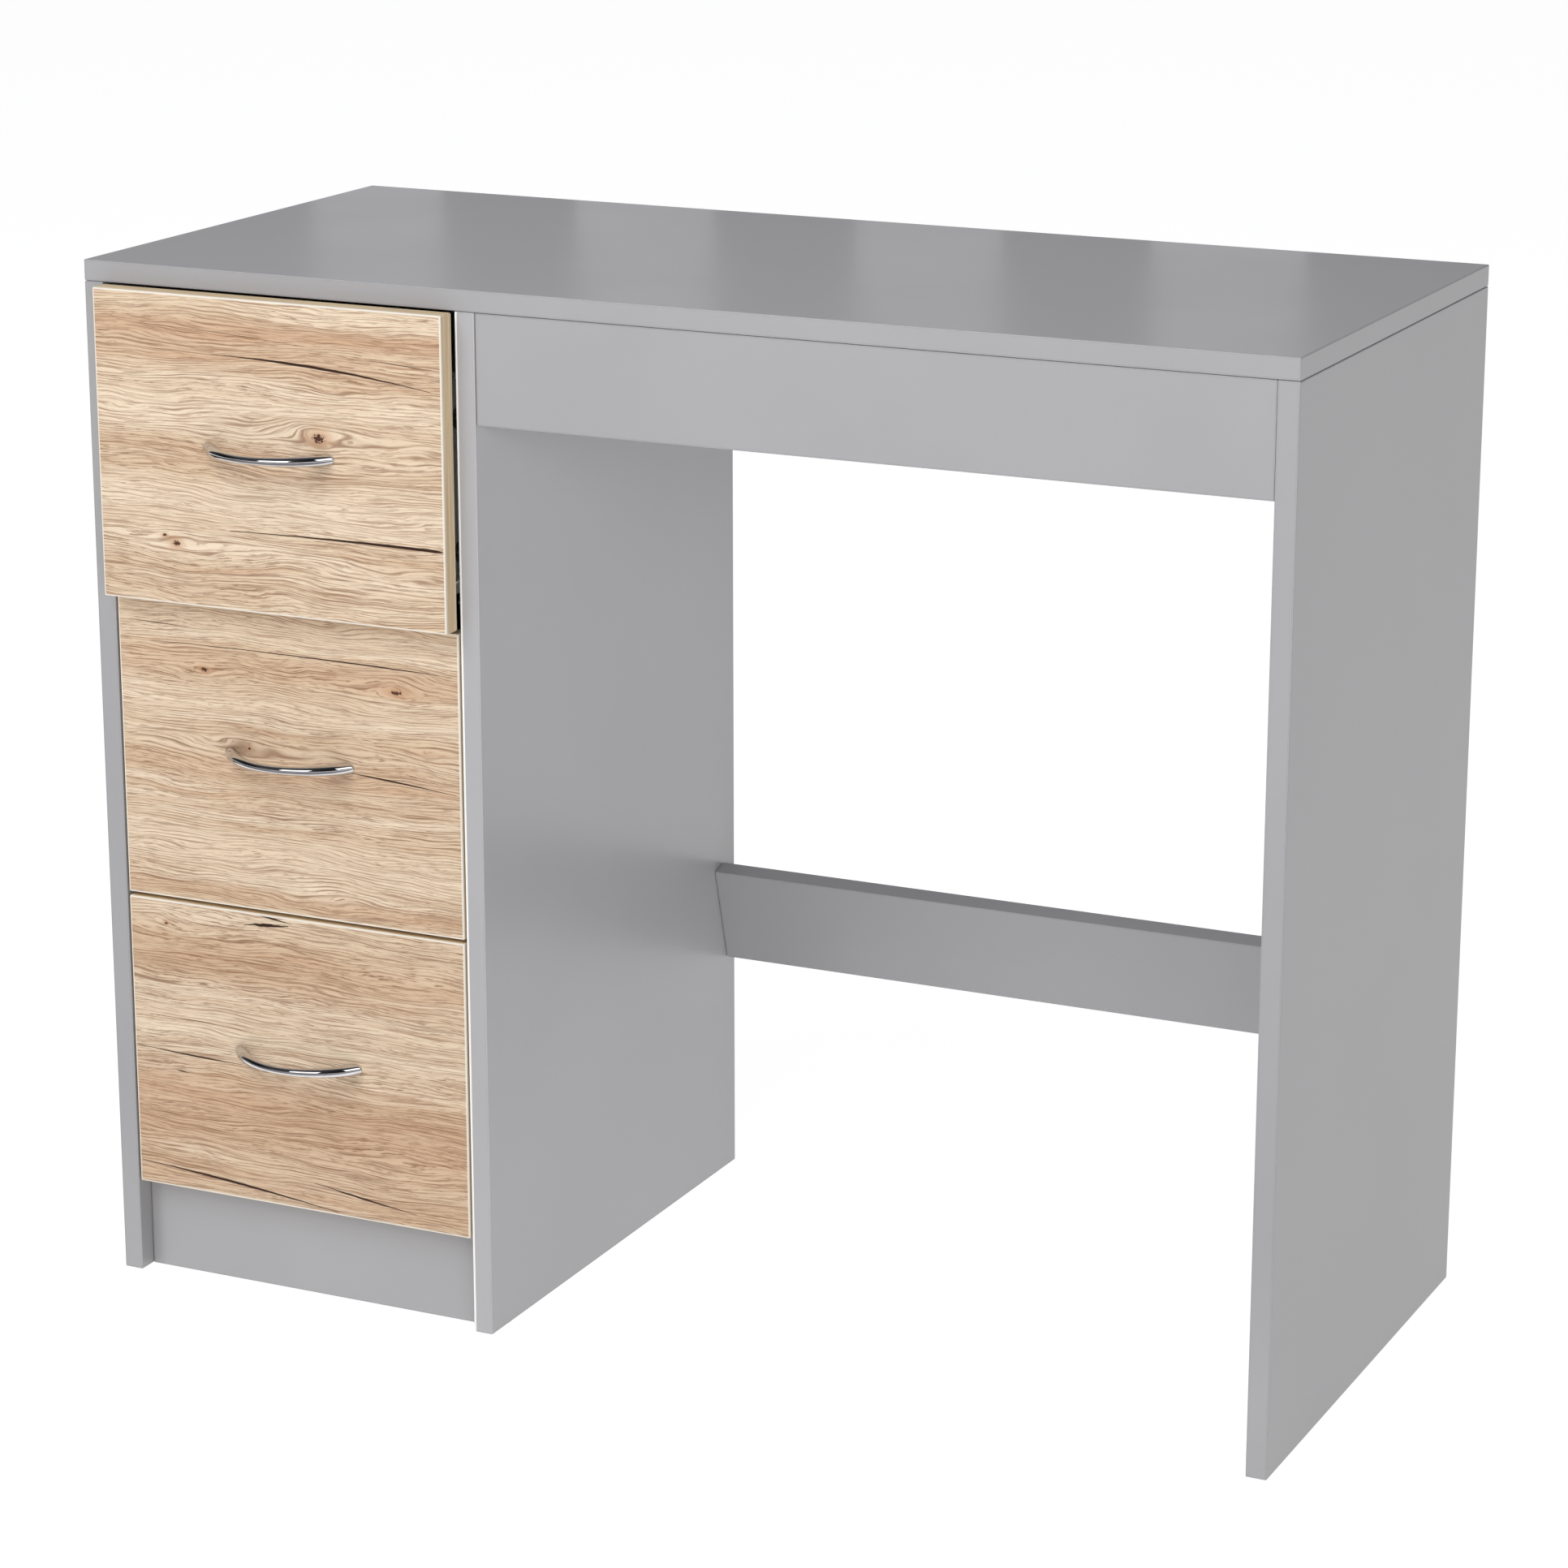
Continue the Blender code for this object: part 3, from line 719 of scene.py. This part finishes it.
# ---- Rollers -----------------------------------------------------------------------------
# Twelve moulded nylon wheels, 16 mm across, with a sunk web between hub and tread. One turns
# at the front of each channel, and one at the rear of each drawer's rail.
ROLLER_BORE = 0.0024
ROLLER_HUB = 0.0042
ROLLER_TREAD = 0.0062
ROLLER_SUNK = 0.0010
ROLLER_DRAFT = 0.0002
ROLLER_EASE = 0.0007

nylon, nylon_shader, nylon_place = new_finish("nylon")
feed(nylon_shader,
     Base_Color=nylon_place.noise(140, 3, 0.6).between(0.3, 0.7).blend(
         (0.80, 0.79, 0.74, 1), (0.70, 0.69, 0.63, 1)),
     Roughness=nylon_place.noise(900, 2, 0.5).between(0.3, 0.7, 0.36, 0.5),
     Normal=nylon_place.noise(1800, 2, 0.5).bump(0.25, 0.0001))

for kind in ("cabinet", "drawer"):
    for drawer in DRAWERS:
        for side, _ in SIDES:
            node = f"{kind}_roller_{drawer}_{side}"
            low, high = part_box(node)
            radius = (high.z - low.z) / 2
            half = (high.x - low.x) / 2
            sunk = half - ROLLER_SUNK
            bulge = ROLLER_EASE * 0.3
            face = [(ROLLER_BORE, half), (ROLLER_HUB, half), (ROLLER_HUB + ROLLER_DRAFT, sunk),
                    (ROLLER_TREAD - ROLLER_DRAFT, sunk), (ROLLER_TREAD, half),
                    (radius - ROLLER_EASE, half), (radius - bulge, half - bulge),
                    (radius, half - ROLLER_EASE)]
            profile = face + [(across, -rise) for across, rise in reversed(face)] + face[:1]
            shape = turned_shape(profile, (low + high) / 2, (1, 0, 0), ROUND_SEGMENTS)
            finished(node + "_moulded", shape, nylon, node, [node], smooth=30)


# ---- Drawer fronts -----------------------------------------------------------------------
# Three 15 mm boards wrapped in a light oak print, with a pale highlight painted on their front
# arrises.
# The rear is plain white, with a blind groove for the drawer's bottom. The print differs on
# each front: long growth lines, short pores, dark splits, knots, and pale and reddish bands.
ARRIS = 0.001
MM = 1000.0
OAK_CREAM = (0.70, 0.580, 0.435, 1)
OAK_MIDDLE = (0.600, 0.460, 0.325, 1)
OAK_TAN = (0.490, 0.345, 0.225, 1)
OAK_RED = (0.470, 0.275, 0.160, 1)
OAK_LINE = (0.195, 0.092, 0.042, 1)
OAK_SPLIT = (0.030, 0.012, 0.006, 1)
OAK_KNOT = (0.070, 0.024, 0.012, 1)
# The colour of the painted highlight on the front arrises.
OAK_HIGHLIGHT = (0.72, 0.68, 0.61, 1)
SIDE_DARK = (0.60, 0.45, 0.28, 1)
SIDE_PALE = (0.77, 0.62, 0.41, 1)
WHITE = (0.74, 0.74, 0.72)
RING_GAP = 2.5
SWAY = 20.0


def slope(along, start, end):
    """The height of a straight line between two points."""
    return (along - start[0]) * ((end[1] - start[1]) / (end[0] - start[0])) + start[1]


def split_mask(along, up, wander, start, end, wide, bow=0.0, heavy=0.5, ragged=0.5):
    """A dark split from start to end, widest at a share of its length, in millimetres."""
    share = (along - start[0]) / (end[0] - start[0])
    taper = share.between(0.0, heavy) * share.between(heavy, 1.001, 1, 0)
    inside = share.between(0.0, 0.02) * share.between(0.98, 1.0, 1, 0)
    middle = slope(along, start, end) + share * (1 - share) * (4 * bow) + wander * ragged
    half = (taper + 0.30) * (wide / 1.6)
    return ((up - middle).size() - half).between(-0.20, 0.20, 1, 0) * inside


def oak_finish(name, low, high, seed, splits, knots, bands, joints):
    """Oak print: long growth lines that flow round knots, short pores, splits and bands."""
    material, shader, place = new_finish(name)
    x, y, z = place.parts()
    along = (x - low.x) * MM
    up = (z - low.z) * MM

    # Growth lines follow the level, which is the height bent by slow waves, knots and joints.
    sway = (along / 110).joined(up / 30, seed).noise(1, 2, 0.5) - 0.5
    ripple = (along / 30).joined(up / 7, seed + 3).noise(1, 2, 0.5) - 0.5
    level = up + sway * SWAY + ripple * 1.1
    for middle, flow, push, _ in knots:
        across = (along - middle[0]) / (flow * 3.2)
        rise = (up - middle[1]) / flow
        level = level - rise * push / (across * across + rise * rise + 0.6)
    joint_line = level * 0
    for left, right, jump in joints:
        above = up - slope(along, (0, left), (279, right))
        level = level + above.between(-0.25, 0.25, jump, 0)
        joint_line = joint_line.greater(above.size().between(0.10, 0.50, 1, 0))

    drift = (along / 200).joined(level / 16, seed + 5).noise(1, 2, 0.5)
    phase = level / RING_GAP + drift * 3
    rings = ((phase * math.tau).maths("SINE") * 0.5 + 0.5) ** 2.2
    broken = (along / 38).joined(level / 1.4, seed + 7).noise(1, 2, 0.6).between(0.34, 0.62)
    streaks = (along / 75).joined(level / 1.05, seed + 9).noise(1, 3, 0.65).between(0.52, 0.66)
    pores = (along / 13).joined(level / 0.60, seed + 11).noise(1, 2, 0.6).between(0.52, 0.66)
    patches = (along / 90).joined(level / 14, seed + 13).noise(1, 2, 0.5).between(0.35, 0.62)
    lines = (rings * broken * (0.85 - patches * 0.30)).greater(streaks * 0.80)
    lines = lines.greater(pores * (patches * 0.35 + 0.50))

    # Broad tones: cream, tan and reddish wood, and the bands of this front.
    tone = (along / 260).joined(level / 12, seed + 17).noise(1, 3, 0.55)
    warm = (along / 170).joined(level / 6, seed + 19).noise(1, 3, 0.6).between(0.55, 0.72)
    pale, dark = tone * 0, tone * 0
    bent = up + sway * (SWAY * 0.4)
    for middle, half, amount in bands:
        near = (bent - middle).size().between(half * 0.3, half * 1.4, abs(amount), 0)
        if amount > 0:
            pale = pale.greater(near)
        else:
            dark = dark.greater(near)
    base = tone.between(0.32, 0.56).blend(OAK_CREAM, OAK_MIDDLE)
    base = (tone.between(0.54, 0.78) * 0.7).blend(base, OAK_TAN)
    base = (warm * 0.40).blend(base, OAK_RED)
    base = pale.blend(base, OAK_CREAM)
    base = (dark * 0.62).blend(base, OAK_RED)
    base = (lines * (1 - pale * 0.25)).blend(base, OAK_LINE)
    base = (joint_line * broken * 0.5).blend(base, OAK_RED)

    wander = (along / 8).joined(up / 20, seed + 23).noise(1, 3, 0.6) - 0.5
    ragged = (along / 1.7).joined(up / 1.1, seed + 21).noise(1, 2, 0.7) - 0.5
    knot_dark, knot_halo, split = tone * 0, tone * 0, tone * 0
    for middle, _, _, spot in knots:
        across = (along - middle[0]) / spot[0]
        rise = (up - middle[1]) / spot[1]
        reach = (across * across + rise * rise).maths("SQRT")
        knot_dark = knot_dark.greater((reach + ragged * 3.2).between(0.6, 1.1, 1, 0)
                                      * reach.between(1.2, 1.6, 1, 0))
        knot_halo = knot_halo.greater(reach.between(1.0, 3.4, 0.65, 0))
    for drawn in splits:
        split = split.greater(split_mask(along, up, wander, *drawn))
    base = knot_halo.blend(base, OAK_RED)
    base = knot_dark.blend(base, OAK_KNOT)
    base = split.blend(base, OAK_SPLIT)

    # The sides show the print's end, the front arrises carry a painted pale highlight, and the
    # rear is white.
    near_x = (x - low.x).lesser(high.x - x)
    near_z = (z - low.z).lesser(high.z - z)
    layers = (y * (MM / 0.9)).joined(z * (MM / 90), x * (MM / 90)).noise(1, 3, 0.6)
    side = near_x.lesser(near_z).between(0.0002, 0.0007, 1, 0)
    base = side.blend(base, layers.between(0.35, 0.65).blend(SIDE_DARK, SIDE_PALE))
    # A painted highlight: a pale line along the arrises of the front face.
    arris_highlight = edge_distance(place, low, high).between(0.0010, 0.0015, 0.9, 0)
    arris_highlight = arris_highlight * (y - low.y).between(0.0020, 0.0026, 1, 0)
    base = arris_highlight.blend(base, OAK_HIGHLIGHT)
    base = (high.y - y).between(0.0006, 0.0009, 1, 0).blend(base, solid(WHITE))
    height = 0 - lines * 0.5 - split * 1.5 - knot_dark
    feed(shader, Base_Color=base, Specular_IOR_Level=0.3,
         Roughness=lines.between(0, 0.6, 0.50, 0.62),
         Normal=height.bump(0.25, 0.00015))
    return material


# The prints, in millimetres from a front's lower left corner. A split has its start, end, width,
# bow, the share where it is widest, and raggedness. A knot has its middle, how far and how hard
# it bends the grain, and its dark spot's half sizes. A band has its height, half width, and how
# pale it is, or red below 0. A joint has its heights left and right, and the grain's jump.
PRINTS = {
    "top": dict(
        seed=2.3, joints=[(155, 152, 31), (55, 59, 83)],
        splits=[((95, 181), (272, 168), 1.2, 3.5, 0.45, 0.5), ((34, 199), (182, 191), 0.2, 1.5),
                ((105, 57), (279.5, 58), 1.3, 1.0, 0.95, 0.3), ((218, 187), (279.5, 183), 0.35)],
        knots=[((181, 129), 12, 10, (5.2, 3.2)), ((62, 44), 11, 8, (3.0, 2.2)),
               ((53, 49), 4, 1, (1.6, 0.9)), ((225, 113), 11, 5, (0.3, 0.3))],
        bands=[(198, 9, -0.9), (178, 12, -0.5), (148, 7, 0.85), (136, 10, 0.3), (112, 12, -0.3),
               (76, 16, 0.85), (216, 9, 0.3)]),
    "middle": dict(
        seed=12.9, joints=[(205, 203, 41), (104, 110, 67)],
        splits=[((24, 191), (276, 190), 0.6, 1.5, 0.75, 0.6),
                ((182, 112), (276, 105), 0.8, 0.5, 0.4, 0.4), ((8, 205), (60, 204), 0.4)],
        knots=[((71, 174), 7, 5, (3.2, 1.6)), ((228, 174), 8, 5, (4.6, 1.5)),
               ((107, 120), 16, 7, (1.1, 0.9)), ((250, 134), 9, 4, (0.3, 0.3))],
        bands=[(207, 12, 0.45), (181, 9, -0.55), (152, 10, 0.5), (42, 17, 0.6), (104, 9, -0.45),
               (10, 7, -0.6)]),
    "bottom": dict(
        seed=27.4, joints=[(107, 98, 53), (16, 2, 37)],
        splits=[((97, 212), (135, 215), 1.5, 0.0, 0.5, 2.4), ((101, 222), (138, 217), 0.9),
                ((13, 132), (111, 129), 0.3, 1.5, 0.4, 1.0), ((2, 107), (92, 104), 0.8, -0.5, 0.6),
                ((34, 92), (46, 91), 0.6), ((0, 17), (172, 2), 1.2, 1.6, 0.45, 0.8),
                ((150, 22), (236, 11), 0.9, -0.5, 0.45, 0.8)],
        knots=[((31, 204), 12, 6, (1.6, 0.7)), ((196, 56), 11, 4, (0.3, 0.3)),
               ((120, 76), 9, 3, (0.3, 0.3))],
        bands=[(64, 34, -0.95), (126, 5, 0.9), (154, 3.5, 0.7), (14, 12, -0.6), (184, 16, -0.55),
               (140, 8, 0.4)]),
}


def sunk_rectangle(shape, corner, far, rear, deep):
    """Sinks a rectangle into the face at y = rear, with cuts on its four sides."""
    for point, normal in ((corner, (1, 0, 0)), (far, (1, 0, 0)), (corner, (0, 0, 1)),
                          (far, (0, 0, 1))):
        everything = shape.verts[:] + shape.edges[:] + shape.faces[:]
        bmesh.ops.bisect_plane(shape, geom=everything, plane_co=point, plane_no=normal)
    chosen = []
    for face in shape.faces:
        middle = face.calc_center_median()
        inside = corner.x < middle.x < far.x and corner.z < middle.z < far.z
        if inside and abs(middle.y - rear) < 0.0001:
            chosen.append(face)
    made = bmesh.ops.extrude_face_region(shape, geom=chosen)
    bmesh.ops.delete(shape, geom=chosen, context="FACES")
    sunk = [part for part in made["geom"] if isinstance(part, bmesh.types.BMVert)]
    bmesh.ops.translate(shape, vec=(0, -deep, 0), verts=sunk)


for drawer in DRAWERS:
    node = f"drawer_{drawer}_front"
    low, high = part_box(node)
    shape = box_shape(low, high)
    round_edges(shape, shape.edges[:], ARRIS)
    bottom_low, bottom_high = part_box(f"drawer_{drawer}_bottom")
    play = Vector((PLAY, 0, PLAY))
    sunk_rectangle(shape, bottom_low - play, bottom_high + play, high.y,
                   high.y - bottom_low.y + PLAY)
    finished(node + "_oak", shape, oak_finish("oak_print_" + drawer, low, high, **PRINTS[drawer]),
             f"drawer_{drawer}", [node])


# ---- Drawer boxes ------------------------------------------------------------------------
# Two sides and a back of 12 mm chipboard in white foil, and a hardboard bottom in grooves.
# The sides hold to the front by cams and to the back by two screws each.
BOX_EDGE = 0.0005
BOTTOM_GROOVE = 0.005
CAM_RADIUS = 0.0075
CAM_PROUD = 0.0003
CAM_FROM_FRONT = 0.024
CAM_RISES = (0.028, 0.122)
BACK_SCREW_RISES = (0.040, 0.125)
WHITE_ROUGHNESS = 0.42


def cam_discs(places, axis):
    """Zinc cams, set nearly flush in a board."""
    shape = bmesh.new()
    for place in places:
        add_to(shape, cross_head(place, axis, CAM_RADIUS, CAM_PROUD, CAM_RADIUS * 0.45,
                                 CAM_RADIUS * 0.10, CAM_RADIUS * 0.3))
    return shape


for drawer in DRAWERS:
    body = f"drawer_{drawer}"
    floor_low, floor_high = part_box(f"drawer_{drawer}_bottom")
    rear_low, rear_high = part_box(f"drawer_{drawer}_back")
    for side, sign in SIDES:
        node = f"drawer_{drawer}_side_{side}"
        low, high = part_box(node)
        outer, face = (low.x, high.x) if sign < 0 else (high.x, low.x)
        deep = face + sign * BOTTOM_GROOVE
        section = [(outer, low.z), (face, low.z), (face, floor_low.z - PLAY),
                   (deep, floor_low.z - PLAY), (deep, floor_high.z + PLAY),
                   (face, floor_high.z + PLAY), (face, high.z), (outer, high.z)]
        outline = [Vector((across, low.y, rise)) for across, rise in section]
        shape = prism(outline, Vector((0, high.y - low.y, 0)))
        round_edges(shape, [edge for edge in shape.edges if edge.is_convex], BOX_EDGE)
        finish = foil_finish("white_" + node, low, high, WHITE, WHITE_ROUGHNESS)
        finished(node + "_foiled", shape, finish, body, [node])
        cams = [Vector((outer, low.y + CAM_FROM_FRONT, low.z + rise)) for rise in CAM_RISES]
        fixings = cam_discs(cams, (sign, 0, 0))
        rear = (rear_low.y + rear_high.y) / 2
        spots = [Vector((outer, rear, low.z + rise)) for rise in BACK_SCREW_RISES]
        add_to(fixings, screw_heads(spots, (sign, 0, 0)))
        finished(f"drawer_{drawer}_fixings_{side}", fixings, zinc, body)

    node = f"drawer_{drawer}_back"
    shape = box_shape(rear_low, rear_high)
    round_edges(shape, shape.edges[:], BOX_EDGE)
    finish = foil_finish("white_" + node, rear_low, rear_high, WHITE, WHITE_ROUGHNESS)
    finished(node + "_foiled", shape, finish, body, [node])
    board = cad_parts[f"drawer_{drawer}_bottom"]
    board.data.materials.clear()
    top = floor_high.z
    board.data.materials.append(hardboard_finish(
        f"hardboard_{drawer}",
        lambda place, top=top: (top - place.parts()[2]).between(
            LACQUER_STARTS, LACQUER_ENDS, 1, 0)))


# ---- Rails on the drawers ----------------------------------------------------------------
# A coated steel angle wraps the lower edge of each drawer's side. Its upper flange rides on
# the roller of the channel, and its own roller runs at the rear.
RAIL_SCREW_PROUD = 0.0008
RAIL_SCREW_RISE = 0.0055
RAIL_SCREW_SHARES = (0.12, 0.5, 0.80)
RAIL_SHELF = 0.0097

for drawer in DRAWERS:
    for side, sign in SIDES:
        node = f"drawer_{drawer}_runner_{side}"
        low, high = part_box(node)
        under, tip = (low.x, high.x) if sign > 0 else (high.x, low.x)
        wall_low, wall_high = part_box(f"drawer_{drawer}_side_{side}")
        box_face = wall_high.x if sign > 0 else wall_low.x
        inner = box_face + sign * PLAY
        web = inner + sign * SHEET
        shelf = box_face + sign * RAIL_SHELF
        foot = wall_low.z - PLAY
        length = wall_high.y - wall_low.y
        section = [(under, foot), (inner, foot), (inner, high.z), (shelf, high.z)]
        path = [Vector((across, wall_low.y, rise)) for across, rise in section]
        shape = bent_sheet(path, Vector((0, length, 0)), Vector((shelf, wall_low.y, foot)))
        wheel_low, wheel_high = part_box(f"drawer_roller_{drawer}_{side}")
        wheel_middle = (wheel_low + wheel_high) / 2
        root = Vector((web, wheel_middle.y, wheel_middle.z))
        add_to(shape, rivet(root, (sign, 0, 0), abs(tip - web)))
        finished(node + "_rolled", shape, coated_steel, f"drawer_{drawer}",
                 [node], smooth=35)
        spots = [Vector((web, wall_low.y + share * length, foot + RAIL_SCREW_RISE))
                 for share in RAIL_SCREW_SHARES]
        finished(f"drawer_{drawer}_runner_screws_{side}",
                 screw_heads(spots, (sign, 0, 0), proud=RAIL_SCREW_PROUD), zinc,
                 f"drawer_{drawer}")


# ---- Bow handles -------------------------------------------------------------------------
# Zinc die castings, polished and chrome plated: a round bow, slim in the middle and thicker
# at both feet, pulled tight to the front by two machine screws from inside the drawer.
HANDLE_CENTRES = 0.096
HANDLE_REACH = 0.025
HANDLE_THIN = 0.0029
HANDLE_THICK = 0.0048
HANDLE_RISE = 0.004
FOOT_EASE = 0.0004
BOW_STEPS = 72
BOW_SIDES = 40
HANDLE_SCREW = 0.0042
HANDLE_SCREW_PROUD = 0.0026
SIDEWAYS = Matrix.Rotation(math.radians(90), 4, "Y")

chrome, chrome_shader, chrome_place = new_finish("chrome")
smears = chrome_place.noise(160, 4, 0.6)
feed(chrome_shader,
     Base_Color=smears.between(0.3, 0.7).blend((0.70, 0.69, 0.70, 1), (0.63, 0.62, 0.63, 1)),
     Metallic=1.0,
     Roughness=smears.between(0.4, 0.8, 0.055, 0.12),
     Normal=chrome_place.noise(300, 2, 0.5).bump(0.10, 0.00005))

half_span = HANDLE_CENTRES / 2
bow_radius = (half_span ** 2 + HANDLE_REACH ** 2) / (2 * HANDLE_REACH)
bow_end = math.asin(half_span / bow_radius) + 2 * HANDLE_THICK / bow_radius
furthest = bow_radius * math.sin(bow_end)

for drawer in DRAWERS:
    front_low, front_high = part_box(f"drawer_{drawer}_front")
    centre = Vector(((front_low.x + front_high.x) / 2, front_low.y,
                     (front_low.z + front_high.z) / 2 + HANDLE_RISE))
    shape = bmesh.new()
    loop = None
    for step in range(BOW_STEPS + 1):
        angle = bow_end * (2 * step / BOW_STEPS - 1)
        across = bow_radius * math.sin(angle)
        ahead = bow_radius - HANDLE_REACH - bow_radius * math.cos(angle)
        thick = HANDLE_THIN + (HANDLE_THICK - HANDLE_THIN) * abs(across / furthest) ** 1.5
        stand = Matrix.Translation(centre + Vector((across, ahead, 0)))
        stand = stand @ Matrix.Rotation(angle, 4, "Z") @ SIDEWAYS
        made = bmesh.ops.create_circle(shape, segments=BOW_SIDES, radius=thick, matrix=stand)
        ring = list({edge for vert in made["verts"] for edge in vert.link_edges})
        if loop:
            bmesh.ops.bridge_loops(shape, edges=loop + ring)
        loop = ring
    plane = centre + Vector((0, -PLAY, 0))
    everything = shape.verts[:] + shape.edges[:] + shape.faces[:]
    bmesh.ops.bisect_plane(shape, geom=everything, plane_co=plane, plane_no=(0, 1, 0),
                           clear_outer=True)
    bmesh.ops.holes_fill(shape, edges=shape.edges, sides=0)
    bmesh.ops.recalc_face_normals(shape, faces=shape.faces)
    flat = [face for face in shape.faces if len(face.verts) > 8]
    rims = list({edge for face in flat for edge in face.edges})
    bmesh.ops.bevel(shape, geom=rims, offset=FOOT_EASE, segments=2, profile=0.5,
                    affect="EDGES", material=-1)
    finished(f"drawer_{drawer}_bow_handle", shape, chrome, f"drawer_{drawer}",
             [f"drawer_{drawer}_handle"], smooth=45)
    spots = [centre + Vector((share * half_span, front_high.y - front_low.y, 0))
             for share in (-1, 1)]
    finished(f"drawer_{drawer}_handle_screws",
             screw_heads(spots, (0, 1, 0), HANDLE_SCREW, HANDLE_SCREW_PROUD), zinc,
             f"drawer_{drawer}")


# ---- Cam fittings of the frame -----------------------------------------------------------
# Zinc cams that draw the boards together. They sit in the hidden faces: inside the uprights
# under the top, behind the apron and the plinth, and behind the stretcher.
CAM_UNDER_TOP = 0.034
CAM_FROM_END = 0.034
CAM_FROM_UPRIGHT_FRONT = 0.060
CAM_FROM_UPRIGHT_REAR = 0.080

cam_places = []
for node, sign in (("left_side_panel", 1), ("middle_side_panel", -1), ("right_end_panel", -1)):
    low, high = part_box(node)
    face = high.x if sign > 0 else low.x
    for depth in (low.y + CAM_FROM_UPRIGHT_FRONT, high.y - CAM_FROM_UPRIGHT_REAR):
        cam_places.append((Vector((face, depth, high.z - CAM_UNDER_TOP)), (sign, 0, 0)))
for node in ("front_apron", "plinth"):
    low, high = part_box(node)
    for across in (low.x + CAM_FROM_END, high.x - CAM_FROM_END):
        cam_places.append((Vector((across, high.y, (low.z + high.z) / 2)), (0, 1, 0)))
rail_rear = rail_turn @ Vector((0, 1, 0))
for across in (rail_low.x + CAM_FROM_END, rail_high.x - CAM_FROM_END):
    middle = Vector((across, rail_middle.y, rail_middle.z)) + rail_rear * (STRETCHER_THICK / 2)
    cam_places.append((middle, rail_rear))
frame_cams = bmesh.new()
for place, axis in cam_places:
    add_to(frame_cams, cam_discs([place], axis))
finished("frame_cams", frame_cams, zinc, "carcass")
